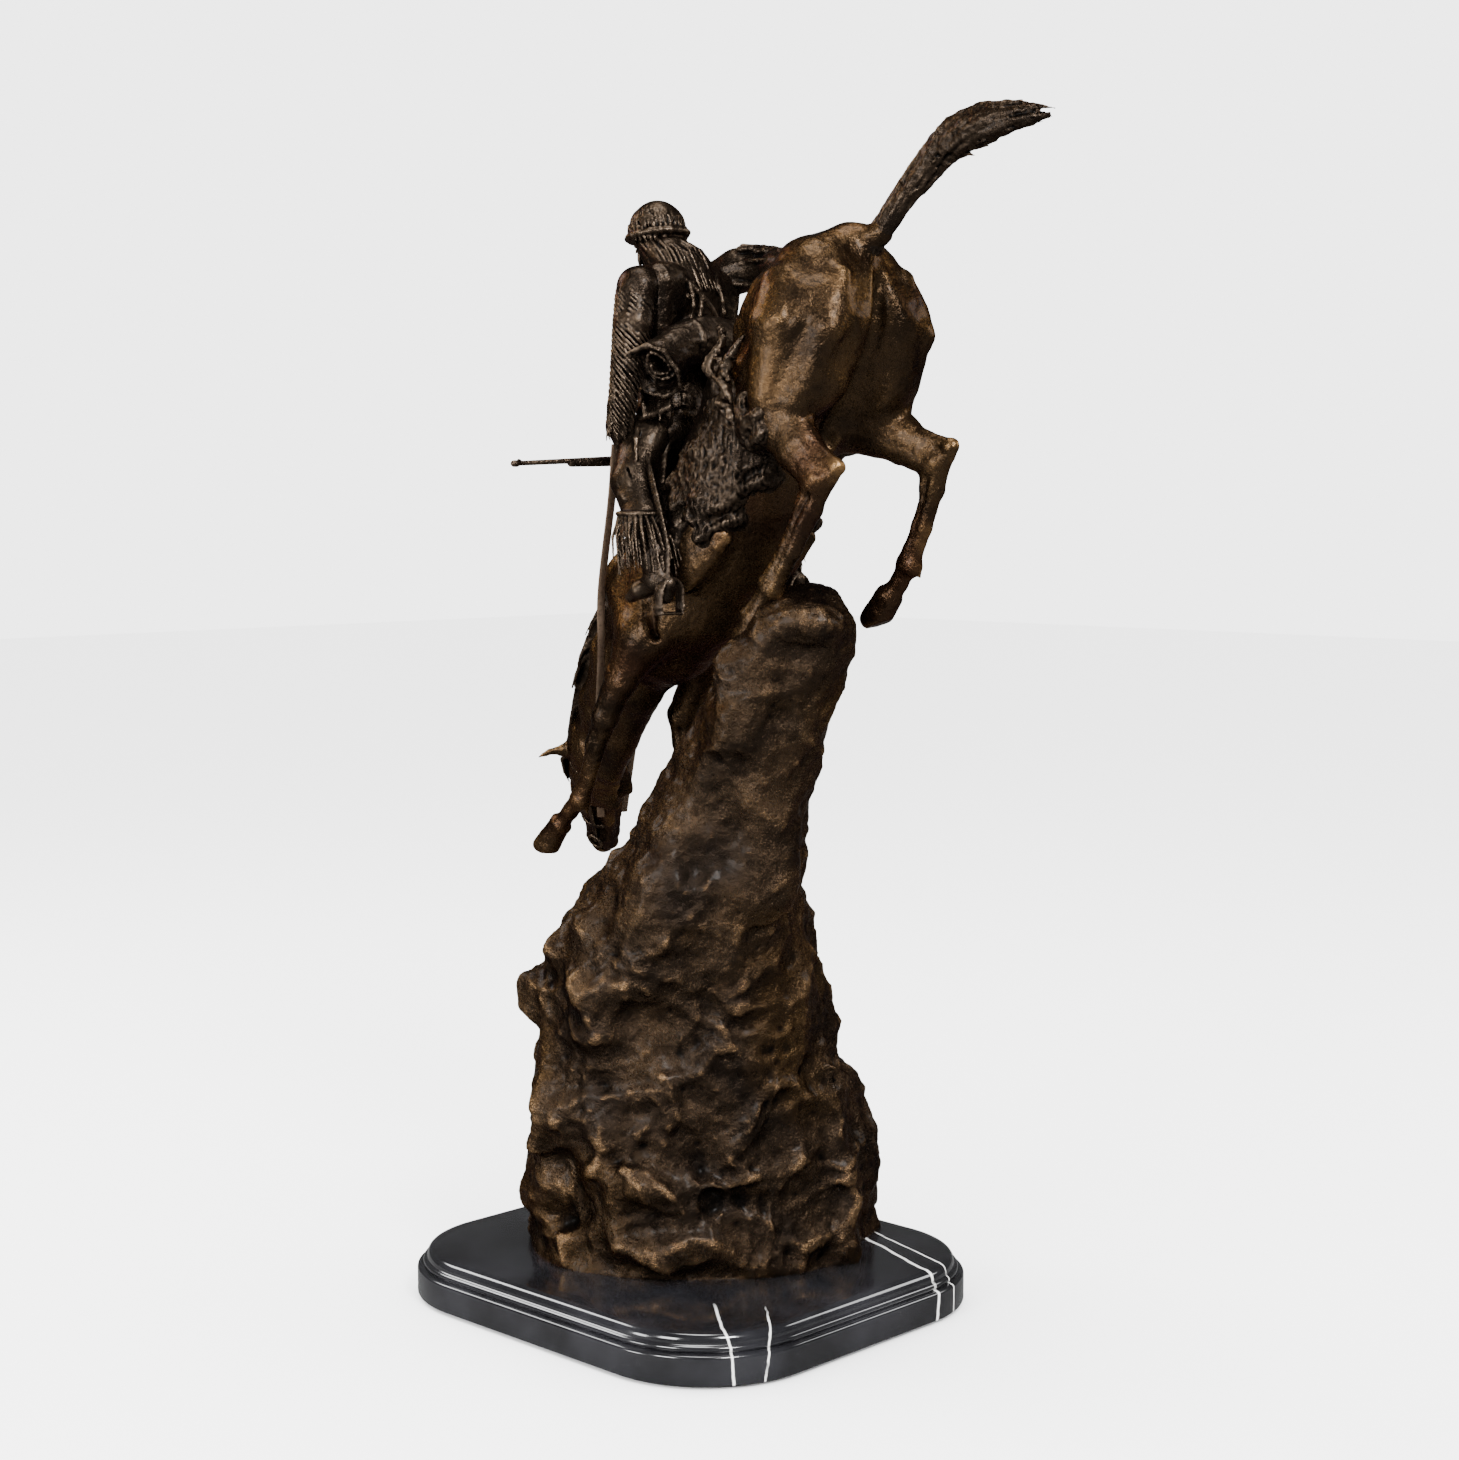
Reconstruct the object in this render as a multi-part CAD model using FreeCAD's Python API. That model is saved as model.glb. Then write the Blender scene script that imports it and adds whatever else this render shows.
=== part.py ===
import FreeCAD, Part
import math
import os

from FreeCAD import Vector

# Bronze horse and rider coming down a rock, on a polished marble base.
# Millimetres. The origin is the middle of the underside of the base, +Z is up,
# +X is the way the horse goes and +Y is its left.

# Driving dimensions of the base
BASE_X = 300.0
BASE_Y = 272.0
BASE_CORNER = 75.0
BASE_HEIGHT = 30.0
BEAD_DEPTH = 5.0
BEAD_HEIGHT = 11.0
TOP_INSET = 12.0
FELT_THICK = 1.5
FELT_INSET = 4.0

# Fastening of the rock to the base: three M8 studs in brazed lugs
STUD_DIAMETER = 8.0
STUD_HOLE = 9.0
STUD_TOP = 50.0
STUD_BOTTOM = 6.0
COUNTERBORE = 26.0
COUNTERBORE_DEPTH = 14.0
WASHER_DIAMETER = 20.0
WASHER_THICK = 1.6
NUT_FLATS = 13.0
NUT_HEIGHT = 6.5
LUG_TOP = 54.0
LUG_WIDTH = 24.0
STUD_PLACES = [(62.0, 30.0), (-18.0, 38.0), (8.0, -82.0)]

# Castings
ROCK_WALL = 6.0
BODY_WALL = 4.5
FIGURE = Vector(15.0, -15.0, 0.0)
LEFT = 1.0
RIGHT = -1.0

# The rock leans along the diagonal T = (1, 1); W = (1, -1) is square to it.
# Each level: height, reach to +T, reach to -T, reach to -W, reach to +W
ROCK_LEVELS = [
    (BASE_HEIGHT, 101.0, -110.0, -70.0, 98.0),
    (70.0, 102.0, -110.0, -71.0, 99.0),
    (112.0, 99.0, -106.0, -72.0, 99.0),
    (152.0, 96.0, -95.0, -73.0, 98.0),
    (192.0, 100.0, -86.0, -75.0, 97.0),
    (228.0, 83.0, -80.0, -77.0, 97.0),
    (262.0, 63.0, -71.0, -80.0, 94.0),
    (290.0, 36.0, -73.0, -84.0, 62.0),
    (320.0, 20.0, -78.0, -88.0, 34.0),
    (355.0, 4.0, -86.0, -94.0, 10.0),
    (390.0, -16.0, -94.0, -102.0, -10.0),
    (420.0, -28.0, -99.0, -106.0, -28.0),
    (436.0, -40.0, -94.0, -99.0, -40.0),
    (442.0, -54.0, -82.0, -86.0, -54.0),
]
ROCK_LOBES = [(3, 0.05, 0.4), (5, 0.035, 1.1)]
ROCK_POLES = 16
# The rock is solid above this many levels, where it narrows to the lip
HOLLOW_LEVELS = 8

# Sections of the horse: x, y, z of the middle, half width, half depth
TRUNK = [
    (-141, 0, 622, 15, 15),
    (-128, 0, 613, 29, 30),
    (-104, 0, 594, 37, 44),
    (-78, 0, 554, 38, 44),
    (-56, 0, 510, 40, 42),
    (-32, 0, 473, 42, 44),
    (-6, 0, 441, 38, 42),
    (14, 0, 418, 31, 35),
    (27, 0, 403, 16, 18),
]
NECK = [
    (-2, 0, 452, 24, 40),
    (32, -2, 421, 23, 40),
    (66, -8, 387, 19, 31),
    (98, -22, 353, 15, 26),
    (124, -36, 327, 13, 21),
]
NECK_CORE = [
    (-20, 0, 456, 13, 17),
    (32, -2, 421, 14, 20),
    (66, -8, 387, 12, 17),
    (92, -19, 359, 9, 12),
]
HEAD = [
    (120, -31, 331, 9, 13),
    (132, -44, 318, 15, 19),
    (146, -58, 300, 14, 19),
    (166, -79, 273, 10, 13),
    (184, -97, 253, 10, 11),
    (194, -107, 243, 6, 7),
]
HEAD_SIDE = Vector(0.72, 0.69, 0.0)
MANE = [
    (36, -1, 468, 3, 8),
    (62, -3, 448, 5, 12),
    (92, -9, 412, 5, 13),
    (119, -20, 375, 5, 12),
    (138, -33, 345, 5, 10),
    (148, -42, 330, 3, 6),
]
TAIL = [
    (-140, -1, 632, 7, 7),
    (-151, -3, 643, 7, 7),
    (-167, -5, 661, 6, 7),
    (-184, -5, 676, 7, 9),
    (-202, -5, 691, 9, 12),
    (-223, -5, 698, 9, 13),
    (-246, -5, 702, 7, 10),
    (-266, -5, 705, 3, 3),
]
HIND_PLANTED = [
    (-122, 20, 630, 16, 15),
    (-123, 25, 602, 30, 38),
    (-116, 31, 570, 24, 34),
    (-112, 40, 546, 16, 23),
    (-132, 42, 524, 11, 15),
    (-147, 42, 508, 8, 12),
    (-139, 42, 492, 6.5, 9),
    (-124, 42, 468, 5.5, 7.5),
    (-109, 42, 445, 7, 8.5),
    (-101, 42, 436, 6, 7),
    (-96, 42, 427, 9.5, 11),
    (-92, 42, 418, 10, 12),
]
HIND_RAISED = [
    (-122, 20, 630, 16, 15),
    (-125, 25, 602, 30, 39),
    (-119, 29, 570, 24, 34),
    (-116, 36, 548, 16, 22),
    (-142, 39, 535, 10, 14),
    (-165, 41, 522, 8, 11),
    (-163, 41, 506, 6.5, 9),
    (-155, 41, 484, 5, 7),
    (-142, 42, 457, 6.5, 7.5),
    (-133, 42, 444, 5.5, 6),
    (-123, 42, 433, 9, 10),
    (-115, 42, 424, 9.5, 11),
]
FORE_STRETCHED = [
    (-10, 20, 436, 13, 24),
    (4, 33, 413, 14, 19),
    (22, 37, 386, 11, 13.5),
    (37, 38, 360, 9.5, 11.5),
    (46, 36, 344, 6.5, 8),
    (58, 32, 322, 5.5, 7),
    (68, 30, 307, 7, 8),
    (77, 30, 298, 5.5, 6),
    (89, 29, 287, 8, 9),
    (101, 28, 274, 9, 10),
]
FORE_PLANTED = [
    (-4, 24, 428, 13, 20),
    (7, 33, 411, 14, 18),
    (28, 38, 384, 11, 13.5),
    (46, 40, 356, 9.5, 11.5),
    (46, 41, 339, 6.5, 8),
    (41, 42, 314, 5.5, 7),
    (36, 42, 298, 7, 8),
    (35, 42, 288, 5.5, 6),
    (39, 42, 275, 8.5, 9.5),
    (43, 42, 262, 9.5, 11),
]

# Sections of the rider
TORSO = [
    (4, 0, 534, 19, 17),
    (9, 0, 552, 23, 20),
    (14, 0, 584, 21, 17),
    (9, 0, 612, 26, 19),
    (5, 1, 631, 27, 16),
    (10, 2, 643, 13, 11),
    (14, 2, 650, 8, 8),
]
RIDER_HEAD = [
    (13, 2, 643, 7, 8),
    (18, 3, 649, 11, 12),
    (23, 4, 658, 13.5, 15.5),
    (26, 4, 668, 13, 15),
    (27, 4, 674, 7, 8),
]
HAIR = [
    (10, 3, 664, 11, 6),
    (-1, 3, 648, 14, 8),
    (-10, 2, 628, 15, 7),
    (-12, 2, 604, 10, 4),
]
CAP = [
    (21, 4, 654, 15, 17),
    (22, 4, 659, 18, 19.5),
    (25, 4, 668, 17.5, 19),
    (28, 4, 676, 12, 13),
    (29, 4, 679, 5, 6),
]
REIN_ARM = [
    (2, 26, 630, 9, 12),
    (2, 38, 626, 12.5, 13.5),
    (1, 46, 602, 10.5, 12),
    (2, 49, 578, 9.5, 10.5),
    (12, 45, 552, 8, 8.5),
    (21, 39, 536, 6.5, 8),
    (25, 37, 526, 5, 6),
]
RESTING_ARM = [
    (6, -26, 634, 10, 11),
    (-6, -38, 641, 12, 12),
    (-24, -43, 642, 11, 11.5),
    (-44, -37, 640, 8.5, 9),
    (-60, -30, 637, 8.5, 8.5),
    (-71, -26, 633, 6, 5),
    (-80, -24, 629, 5, 3),
]
RIDER_LEG = [
    (9, 12, 546, 13, 16),
    (10, 28, 534, 13, 17),
    (3, 45, 508, 12, 14),
    (-12, 52, 486, 10, 13),
    (-27, 56, 464, 8.5, 11),
    (-31, 57, 452, 8, 9),
]
BOOT = [
    (-40, 57, 447, 5, 5),
    (-32, 57, 449, 7.5, 7.5),
    (-18, 57, 443, 7, 6),
    (-6, 56, 437, 4, 3.5),
]
BEDROLL = [
    (-20, -47, 573, 18, 18),
    (-17, -24, 582, 18, 18),
    (-16, 0, 585, 18, 18),
    (-17, 24, 582, 18, 18),
    (-20, 47, 573, 18, 18),
]
BEDROLL_HOLLOW = 7.0
RIFLE = [
    (52, 97, 518, 2.2, 2.2),
    (38, 27, 521.5, 3.0, 3.4),
    (33, 2, 523, 3.4, 4.4),
    (29, -18, 524, 3.8, 6.5),
    (22, -52, 526, 4.0, 10.0),
]
REIN_LEFT = [(24, 39, 530), (33, 34, 497), (50, 27, 440), (60, 18, 400), (84, -2, 350), (141, -56, 281)]
REIN_RIGHT = [(24, 31, 532), (36, 10, 516), (47, -10, 488), (56, -25, 452), (64, -34, 413), (90, -46, 373),
              (118, -64, 328), (150, -86, 281)]
REIN_FACES = {"rein_left": Vector(0, 1, 0), "rein_right": Vector(1, -1, 0)}
REIN_WIDTH = 4.2
REIN_THICK = 2.0
STRAP = [(0, -20, 590), (-24, -30, 604), (-56, -30, 626)]
BIT_RING = 6.0
BIT_WIRE = 1.4
STIRRUP_HEIGHT = 26.0
STIRRUP_WIDTH = 19.0
STIRRUP_DEPTH = 8.0
STIRRUP_WALL = 2.4

OVAL_POLES = 12
# A periodic cubic runs inside its poles by this much
OVAL_SHRINK = 1.0 - (1.0 - math.cos(2.0 * math.pi / OVAL_POLES)) / 3.0


def closed_curve(poles):
    curve = Part.BSplineCurve()
    curve.buildFromPoles(poles, True, 3)
    return Part.Wire([curve.toShape()])


def oval(middle, along, side, half_width, half_depth):
    """An oval section square to along, half_width being its reach to the side."""
    side = (side - along * side.dot(along)).normalize()
    deep = along.cross(side)
    poles = []
    for i in range(OVAL_POLES):
        angle = 2.0 * math.pi * i / OVAL_POLES
        reach_side = side * (half_width * math.cos(angle) / OVAL_SHRINK)
        reach_deep = deep * (half_depth * math.sin(angle) / OVAL_SHRINK)
        poles.append(middle + reach_side + reach_deep)
    return closed_curve(poles)


def limb(stations, side=Vector(0, 1, 0), grow=0.0, mirror=LEFT, place=FIGURE):
    """A closed solid through oval sections, in the figure's own place."""
    middles = [Vector(x, y * mirror, z) + place for x, y, z, width, depth in stations]
    wires = []
    for i, (x, y, z, width, depth) in enumerate(stations):
        before = middles[max(i - 1, 0)]
        after = middles[min(i + 1, len(middles) - 1)]
        along = (after - before).normalize()
        wires.append(oval(middles[i], along, side, width + grow, depth + grow))
    return Part.makeLoft(wires, True, False)


def minus(shape, *tools):
    for tool in tools:
        shape = shape.cut(tool)
    return shape


def largest(shape):
    return max(shape.Solids, key=lambda solid: solid.Volume)


def rounded_plate(inset, bottom, height):
    half_x = BASE_X / 2 - inset
    half_y = BASE_Y / 2 - inset
    radius = BASE_CORNER - inset
    plate = Part.makeBox(2 * half_x, 2 * half_y, height, Vector(-half_x, -half_y, bottom))
    upright = [edge for edge in plate.Edges if abs(edge.tangentAt(edge.FirstParameter).z) > 0.99]
    return plate.makeFillet(radius, upright)


def on_studs(make):
    return Part.makeCompound([make(x, y) for x, y in STUD_PLACES])


def cylinder(diameter, bottom, height, x, y):
    return Part.makeCylinder(diameter / 2, height, Vector(x, y, bottom))


# --- base and fastenings ---

def marble_base():
    lower = rounded_plate(0.0, FELT_THICK, BASE_HEIGHT - BEAD_HEIGHT - FELT_THICK)
    groove = rounded_plate(BEAD_DEPTH, BASE_HEIGHT - BEAD_HEIGHT - 1.0, 4.0)
    bead = rounded_plate(BEAD_DEPTH - 2.0, BASE_HEIGHT - BEAD_HEIGHT + 2.0, BEAD_HEIGHT - 5.0)
    top = rounded_plate(TOP_INSET, BASE_HEIGHT - 4.0, 4.0)
    base = lower.fuse([groove, bead, top]).removeSplitter()
    holes = on_studs(lambda x, y: cylinder(STUD_HOLE, -1.0, BASE_HEIGHT + 2.0, x, y))
    bores = on_studs(lambda x, y: cylinder(COUNTERBORE, -1.0, COUNTERBORE_DEPTH + 1.0, x, y))
    return minus(base, holes, bores)


def felt_pad():
    pad = rounded_plate(FELT_INSET, 0.0, FELT_THICK)
    bores = on_studs(lambda x, y: cylinder(COUNTERBORE, -1.0, FELT_THICK + 2.0, x, y))
    return pad.cut(bores)


def studs():
    length = STUD_TOP - STUD_BOTTOM
    return on_studs(lambda x, y: cylinder(STUD_DIAMETER, STUD_BOTTOM, length, x, y))


def washer(x, y):
    bottom = COUNTERBORE_DEPTH - WASHER_THICK
    ring = cylinder(WASHER_DIAMETER, bottom, WASHER_THICK, x, y)
    return ring.cut(cylinder(STUD_HOLE, bottom - 1.0, WASHER_THICK + 2.0, x, y))


def nut(x, y):
    bottom = COUNTERBORE_DEPTH - WASHER_THICK - NUT_HEIGHT
    reach = NUT_FLATS / math.sqrt(3.0)
    corners = []
    for i in range(7):
        angle = math.radians(60.0 * i)
        corners.append(Vector(x + reach * math.cos(angle), y + reach * math.sin(angle), bottom))
    block = Part.Face(Part.makePolygon(corners)).extrude(Vector(0, 0, NUT_HEIGHT))
    return block.cut(cylinder(STUD_DIAMETER, bottom - 1.0, NUT_HEIGHT + 2.0, x, y))


# --- the rock ---

def rock_outline(level, wall):
    height, t_plus, t_minus, w_minus, w_plus = level
    half_t = (t_plus - t_minus) / 2 - wall
    half_w = (w_plus - w_minus) / 2 - wall
    mid_t = (t_plus + t_minus) / 2
    mid_w = (w_plus + w_minus) / 2
    poles = []
    for i in range(ROCK_POLES):
        angle = 2.0 * math.pi * i / ROCK_POLES
        swell = 1.03
        for count, depth, turn in ROCK_LOBES:
            swell += depth * math.cos(count * angle + turn + height / 90.0) * math.sin(2 * angle) ** 2
        t = mid_t + half_t * swell * math.cos(angle)
        w = mid_w + half_w * swell * math.sin(angle)
        poles.append(Vector((t + w) * math.sqrt(0.5), (t - w) * math.sqrt(0.5), height))
    return closed_curve(poles)


def rock_column(wall, levels):
    return Part.makeLoft([rock_outline(level, wall) for level in levels], True, False)


def rock_buttress(wall):
    """The lower hump against the back of the rock."""
    stations = [
        (-33, -97, BASE_HEIGHT, 40 - wall, 31 - wall),
        (-34, -97, 80, 40 - wall, 31 - wall),
        (-32, -92, 118, 33 - wall, 25 - wall),
        (-29, -84, 140 - wall, 17 - wall / 2, 12 - wall / 2),
    ]
    return limb(stations, side=Vector(1, -1, 0), place=Vector(0, 0, 0))


def rock_solid():
    return rock_column(0.0, ROCK_LEVELS).fuse(rock_buttress(0.0))


def rock_hollow():
    return rock_column(ROCK_WALL, ROCK_LEVELS[:HOLLOW_LEVELS]).fuse(rock_buttress(ROCK_WALL))


def mount_lugs(hollow):
    """Threaded blocks brazed inside the foot of the rock."""
    def block(x, y):
        corner = Vector(x - LUG_WIDTH / 2, y - LUG_WIDTH / 2, BASE_HEIGHT)
        lug = Part.makeBox(LUG_WIDTH, LUG_WIDTH, LUG_TOP - BASE_HEIGHT, corner)
        return lug.cut(cylinder(STUD_DIAMETER, BASE_HEIGHT - 1.0, STUD_TOP - BASE_HEIGHT + 1.0, x, y))

    def web(x, y):
        out = Vector(x, y, 0).normalize()
        reach = Part.makeBox(90.0, LUG_WIDTH * 0.6, 12.0, Vector(0, -LUG_WIDTH * 0.3, BASE_HEIGHT))
        reach.rotate(Vector(0, 0, 0), Vector(0, 0, 1), math.degrees(math.atan2(out.y, out.x)))
        reach.translate(Vector(x, y, 0))
        stud = cylinder(STUD_DIAMETER, BASE_HEIGHT - 1.0, STUD_TOP - BASE_HEIGHT + 1.0, x, y)
        return reach.cut(stud)

    lugs = []
    for x, y in STUD_PLACES:
        lugs.append(largest(block(x, y).fuse(web(x, y)).common(hollow)))
    return Part.makeCompound(lugs)


# --- straps, loops and sheets ---

def strap(points, width, thick, side=Vector(0, 1, 0)):
    """A flat strap through a few points, rounded at its edges."""
    stations = [point + (thick / 2, width / 2) for point in points]
    return limb(stations, side=side)


def stirrup(mirror):
    centre = Vector(-40, 56 * mirror, 441) + FIGURE
    outer = Part.makeCylinder(STIRRUP_WIDTH / 2, STIRRUP_DEPTH, Vector(0, 0, 0), Vector(1, 0, 0))
    inner_radius = STIRRUP_WIDTH / 2 - STIRRUP_WALL
    inner = Part.makeCylinder(inner_radius, STIRRUP_DEPTH, Vector(0, 0, 0), Vector(1, 0, 0))
    for hoop, half in ((outer, STIRRUP_WIDTH / 2), (inner, inner_radius)):
        hoop.translate(Vector(-STIRRUP_DEPTH / 2, 0, 0))
    lower = Part.makeBox(STIRRUP_DEPTH, STIRRUP_WIDTH, STIRRUP_HEIGHT / 2,
                         Vector(-STIRRUP_DEPTH / 2, -STIRRUP_WIDTH / 2, -STIRRUP_HEIGHT / 2))
    space = Part.makeBox(STIRRUP_DEPTH, 2 * inner_radius, STIRRUP_HEIGHT / 2 - STIRRUP_WALL,
                         Vector(-STIRRUP_DEPTH / 2, -inner_radius, STIRRUP_WALL - STIRRUP_HEIGHT / 2))
    loop = outer.fuse(lower).cut(inner.fuse(space)).removeSplitter()
    loop.translate(centre)
    return loop


def stirrup_leather(mirror):
    points = [(-40, 58, 453, 1.6, 2.6), (-38, 56, 470, 1.6, 2.6), (-18, 48, 505, 1.6, 2.6),
              (0, 38, 528, 1.6, 2.6)]
    return limb(points, mirror=mirror)


def saddle_zone(fore, back, low, high, half_width=70.0):
    """A block lying along the back: fore and back down the slope, low and high square to it."""
    block = Part.makeBox(fore - back, 2 * half_width, high - low, Vector(back, -half_width, low))
    block.rotate(Vector(0, 0, 0), Vector(0, 1, 0), 55.0)
    block.translate(Vector(-56, 0, 510) + FIGURE)
    return block


def saddle_blanket(body):
    sheet = limb(TRUNK, grow=3.0).common(saddle_zone(48.0, -44.0, -14.0, 80.0))
    return sheet.cut(body)


def flank_robe(body, blanket, mirror):
    """The shaggy robe that hangs down over the flank behind the leg."""
    robe = limb(TRUNK, grow=6.5).common(saddle_zone(34.0, -34.0, -30.0, 22.0))
    half = Part.makeBox(400, 200, 900, Vector(-200, FIGURE.y if mirror > 0 else FIGURE.y - 200, 0))
    return largest(minus(robe.common(half), body, blanket))


def saddle(body, blanket):
    seat = limb(TRUNK, grow=11.0).common(saddle_zone(40.0, -24.0, 30.0, 80.0, 30.0))
    cantle = limb([(-4, 0, 546, 22, 8), (-2, 0, 562, 20, 5), (0, 0, 568, 12, 3)])
    pommel = limb([(24, 0, 486, 11, 12), (36, 0, 502, 9, 9), (44, 0, 511, 7, 6), (47, 0, 514, 4, 3)])
    return minus(seat.fuse([cantle, pommel]), body, blanket)


def bedroll():
    roll = limb(BEDROLL, side=Vector(1, 0, 0))
    hollow = []
    for x, y, z, width, depth in BEDROLL[-2:] + [(-22, 60, 569, 18, 18)]:
        hollow.append((x, y, z, BEDROLL_HOLLOW, BEDROLL_HOLLOW))
    return roll.cut(limb(hollow, side=Vector(1, 0, 0)))


def ring_at(x, y, z, axis):
    return Part.makeTorus(BIT_RING, BIT_WIRE, Vector(x, y, z) + FIGURE, axis)


def bridle(head):
    """Noseband and crown strap round the head, with a ring at each side of the mouth."""
    bands = []
    for low, high in ((0.40, 0.50), (2.95, 3.1)):
        stations = []
        for place in (low, high):
            i = int(place)
            part = place - i
            stations.append(tuple(a + (b - a) * part for a, b in zip(HEAD[i], HEAD[i + 1])))
        bands.append(limb(stations, side=HEAD_SIDE, grow=2.4))
    rings = [ring_at(185, -80, 256, HEAD_SIDE), ring_at(165, -100, 256, HEAD_SIDE)]
    bit = Part.makeCylinder(1.6, 32.0, Vector(163.5, -101, 256) + FIGURE, HEAD_SIDE)
    return minus(bands[0].fuse(bands[1:] + rings + [bit]), head)


def rifle():
    barrel = limb(RIFLE[:3], side=Vector(0, 0, 1))
    stock = limb([(44, 56, 520, 3.2, 3.2)] + RIFLE[1:], side=Vector(1, 0, 0))
    return barrel.fuse(stock)


def ears():
    pair = []
    for base, tip in (((138, -34, 328), (176, -27, 313)), ((130, -42, 332), (163, -53, 327))):
        mid = tuple((a + b) / 2 for a, b in zip(base, tip))
        pair.append(limb([base + (5, 5), mid + (5, 3.5), tip + (1, 1)], side=HEAD_SIDE))
    return pair


def save(name, shape):
    shape.exportStep(os.path.join("parts", name + ".step"))


def build():
    nodes = {}
    hollow = rock_hollow()
    rock = rock_solid()
    nodes["marble_base"] = marble_base()
    nodes["felt_pad"] = felt_pad()
    nodes["mounting_studs"] = studs()
    nodes["mounting_washers"] = on_studs(washer)
    nodes["mounting_nuts"] = on_studs(nut)
    nodes["rock_casting"] = rock.cut(hollow)
    nodes["mount_lugs"] = mount_lugs(hollow)

    body = limb(TRUNK)
    inside = limb(TRUNK[1:-1], grow=-BODY_WALL)
    core = limb(NECK_CORE)
    nodes["horse_body"] = minus(body, inside, core)
    head = largest(limb(HEAD, side=HEAD_SIDE).fuse(ears()))
    neck = limb(NECK)
    nodes["horse_head"] = minus(head, neck)
    nodes["horse_neck"] = largest(minus(neck, body, core))
    nodes["horse_mane"] = largest(minus(limb(MANE), neck, head, body))
    nodes["horse_tail"] = largest(minus(limb(TAIL), body))

    blanket = saddle_blanket(body)
    seat = saddle(body, blanket)
    nodes["saddle_blanket"] = blanket
    nodes["saddle"] = seat
    legs = {
        "hind_leg_left": limb(HIND_PLANTED),
        "hind_leg_right": limb(HIND_RAISED, mirror=RIGHT),
        "foreleg_left": limb(FORE_STRETCHED),
        "foreleg_right": limb(FORE_PLANTED, mirror=RIGHT),
    }
    for name, leg in legs.items():
        nodes[name] = largest(minus(leg, body, rock, nodes["horse_tail"], neck))
    haunch_left = nodes["hind_leg_left"]
    nodes["hind_leg_right"] = largest(minus(nodes["hind_leg_right"], haunch_left))

    torso = largest(minus(limb(TORSO), seat, blanket))
    robes = {}
    for name, mirror in (("left", LEFT), ("right", RIGHT)):
        robe = flank_robe(body, blanket, mirror)
        haunch = nodes["hind_leg_" + name]
        robes[name] = largest(minus(robe, haunch, seat))
        nodes["flank_robe_" + name] = robes[name]
        leg = limb(RIDER_LEG, mirror=mirror).fuse(limb(BOOT, mirror=mirror))
        leather = stirrup_leather(mirror)
        leg = largest(minus(leg, body, blanket, seat, robes[name], torso))
        nodes["rider_leg_" + name] = leg
        loop = stirrup(mirror)
        rest = [body, blanket, robes[name], seat, leg]
        loop = loop.fuse(minus(leather, *rest))
        nodes["stirrup_" + name] = minus(loop, *rest, nodes["foreleg_" + name])
    nodes["rider_torso"] = torso

    face = largest(limb(RIDER_HEAD).fuse(limb(HAIR)))
    nodes["rider_head"] = largest(minus(face, torso))
    nodes["fur_cap"] = largest(minus(limb(CAP), face, torso))
    arm = limb(REIN_ARM)
    nodes["rider_arm_left"] = largest(minus(arm, torso, nodes["rider_leg_left"], face))
    resting = limb(RESTING_ARM)
    solid = [torso, body, nodes["hind_leg_right"], face]
    nodes["rider_arm_right"] = largest(minus(resting, *solid))
    roll = minus(bedroll(), torso, seat, body, blanket, nodes["hind_leg_left"])
    roll = minus(roll, nodes["hind_leg_right"], nodes["rider_arm_left"], *robes.values())
    nodes["bedroll"] = largest(roll)

    around = [nodes["rider_leg_left"], nodes["rider_leg_right"], nodes["rider_arm_left"]]
    around += [torso, seat, blanket, body, neck]
    gun = largest(minus(rifle(), *around))
    nodes["rifle"] = gun
    nodes["bridle"] = minus(bridle(head), neck, nodes["horse_mane"])
    reins = {"rein_left": REIN_LEFT, "rein_right": REIN_RIGHT}
    for name, points in reins.items():
        path = strap(points, REIN_WIDTH, REIN_THICK, REIN_FACES[name])
        path = minus(path, *around, gun, head, nodes["horse_mane"], nodes["bridle"])
        nodes[name] = largest(minus(path, nodes["foreleg_left"], nodes["foreleg_right"]))
    sling = strap(STRAP, 3.4, 1.6)
    near = [torso, nodes["rider_arm_right"], nodes["bedroll"], body, face]
    nodes["hand_strap"] = largest(minus(sling, *near, nodes["hind_leg_right"]))
    return nodes


os.makedirs("parts", exist_ok=True)
for node_name, node_shape in build().items():
    save(node_name, node_shape)
    print(node_name, node_shape.isValid(), len(node_shape.Solids), round(node_shape.Volume))
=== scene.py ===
import math

import bpy
import numpy as np
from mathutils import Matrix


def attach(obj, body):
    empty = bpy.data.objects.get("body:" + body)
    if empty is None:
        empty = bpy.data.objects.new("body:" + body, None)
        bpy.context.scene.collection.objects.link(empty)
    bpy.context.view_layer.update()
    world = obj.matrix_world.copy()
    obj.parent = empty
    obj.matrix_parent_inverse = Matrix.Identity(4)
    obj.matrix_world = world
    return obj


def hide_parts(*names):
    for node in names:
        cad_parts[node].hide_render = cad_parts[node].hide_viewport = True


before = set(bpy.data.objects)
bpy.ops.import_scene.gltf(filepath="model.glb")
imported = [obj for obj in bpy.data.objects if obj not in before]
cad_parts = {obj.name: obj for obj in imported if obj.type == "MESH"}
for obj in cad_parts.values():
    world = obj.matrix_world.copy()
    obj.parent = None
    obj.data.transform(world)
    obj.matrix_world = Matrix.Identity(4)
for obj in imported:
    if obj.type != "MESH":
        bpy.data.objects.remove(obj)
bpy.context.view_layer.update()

import openvdb
from mathutils import Vector

# A patinated bronze horse and rider coming down a rock, on a black marble base.
# The sculpting is done in clay, on a fine grid, in millimetres: +Z is up, +X is the way
# the horse goes and +Y is its left. The figure stands a little off the middle of the base.

FIGURE = np.array([15.0, -15.0, 0.0])
LEFT = 1.0
RIGHT = -1.0
FAR = 1.0e3
BASE_TOP = 30.0
SIDEWAYS = (0.0, 1.0, 0.0)
METRES = 0.001
DIAGONAL = math.sqrt(0.5)


# --- repeatable noise -------------------------------------------------------------

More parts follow.
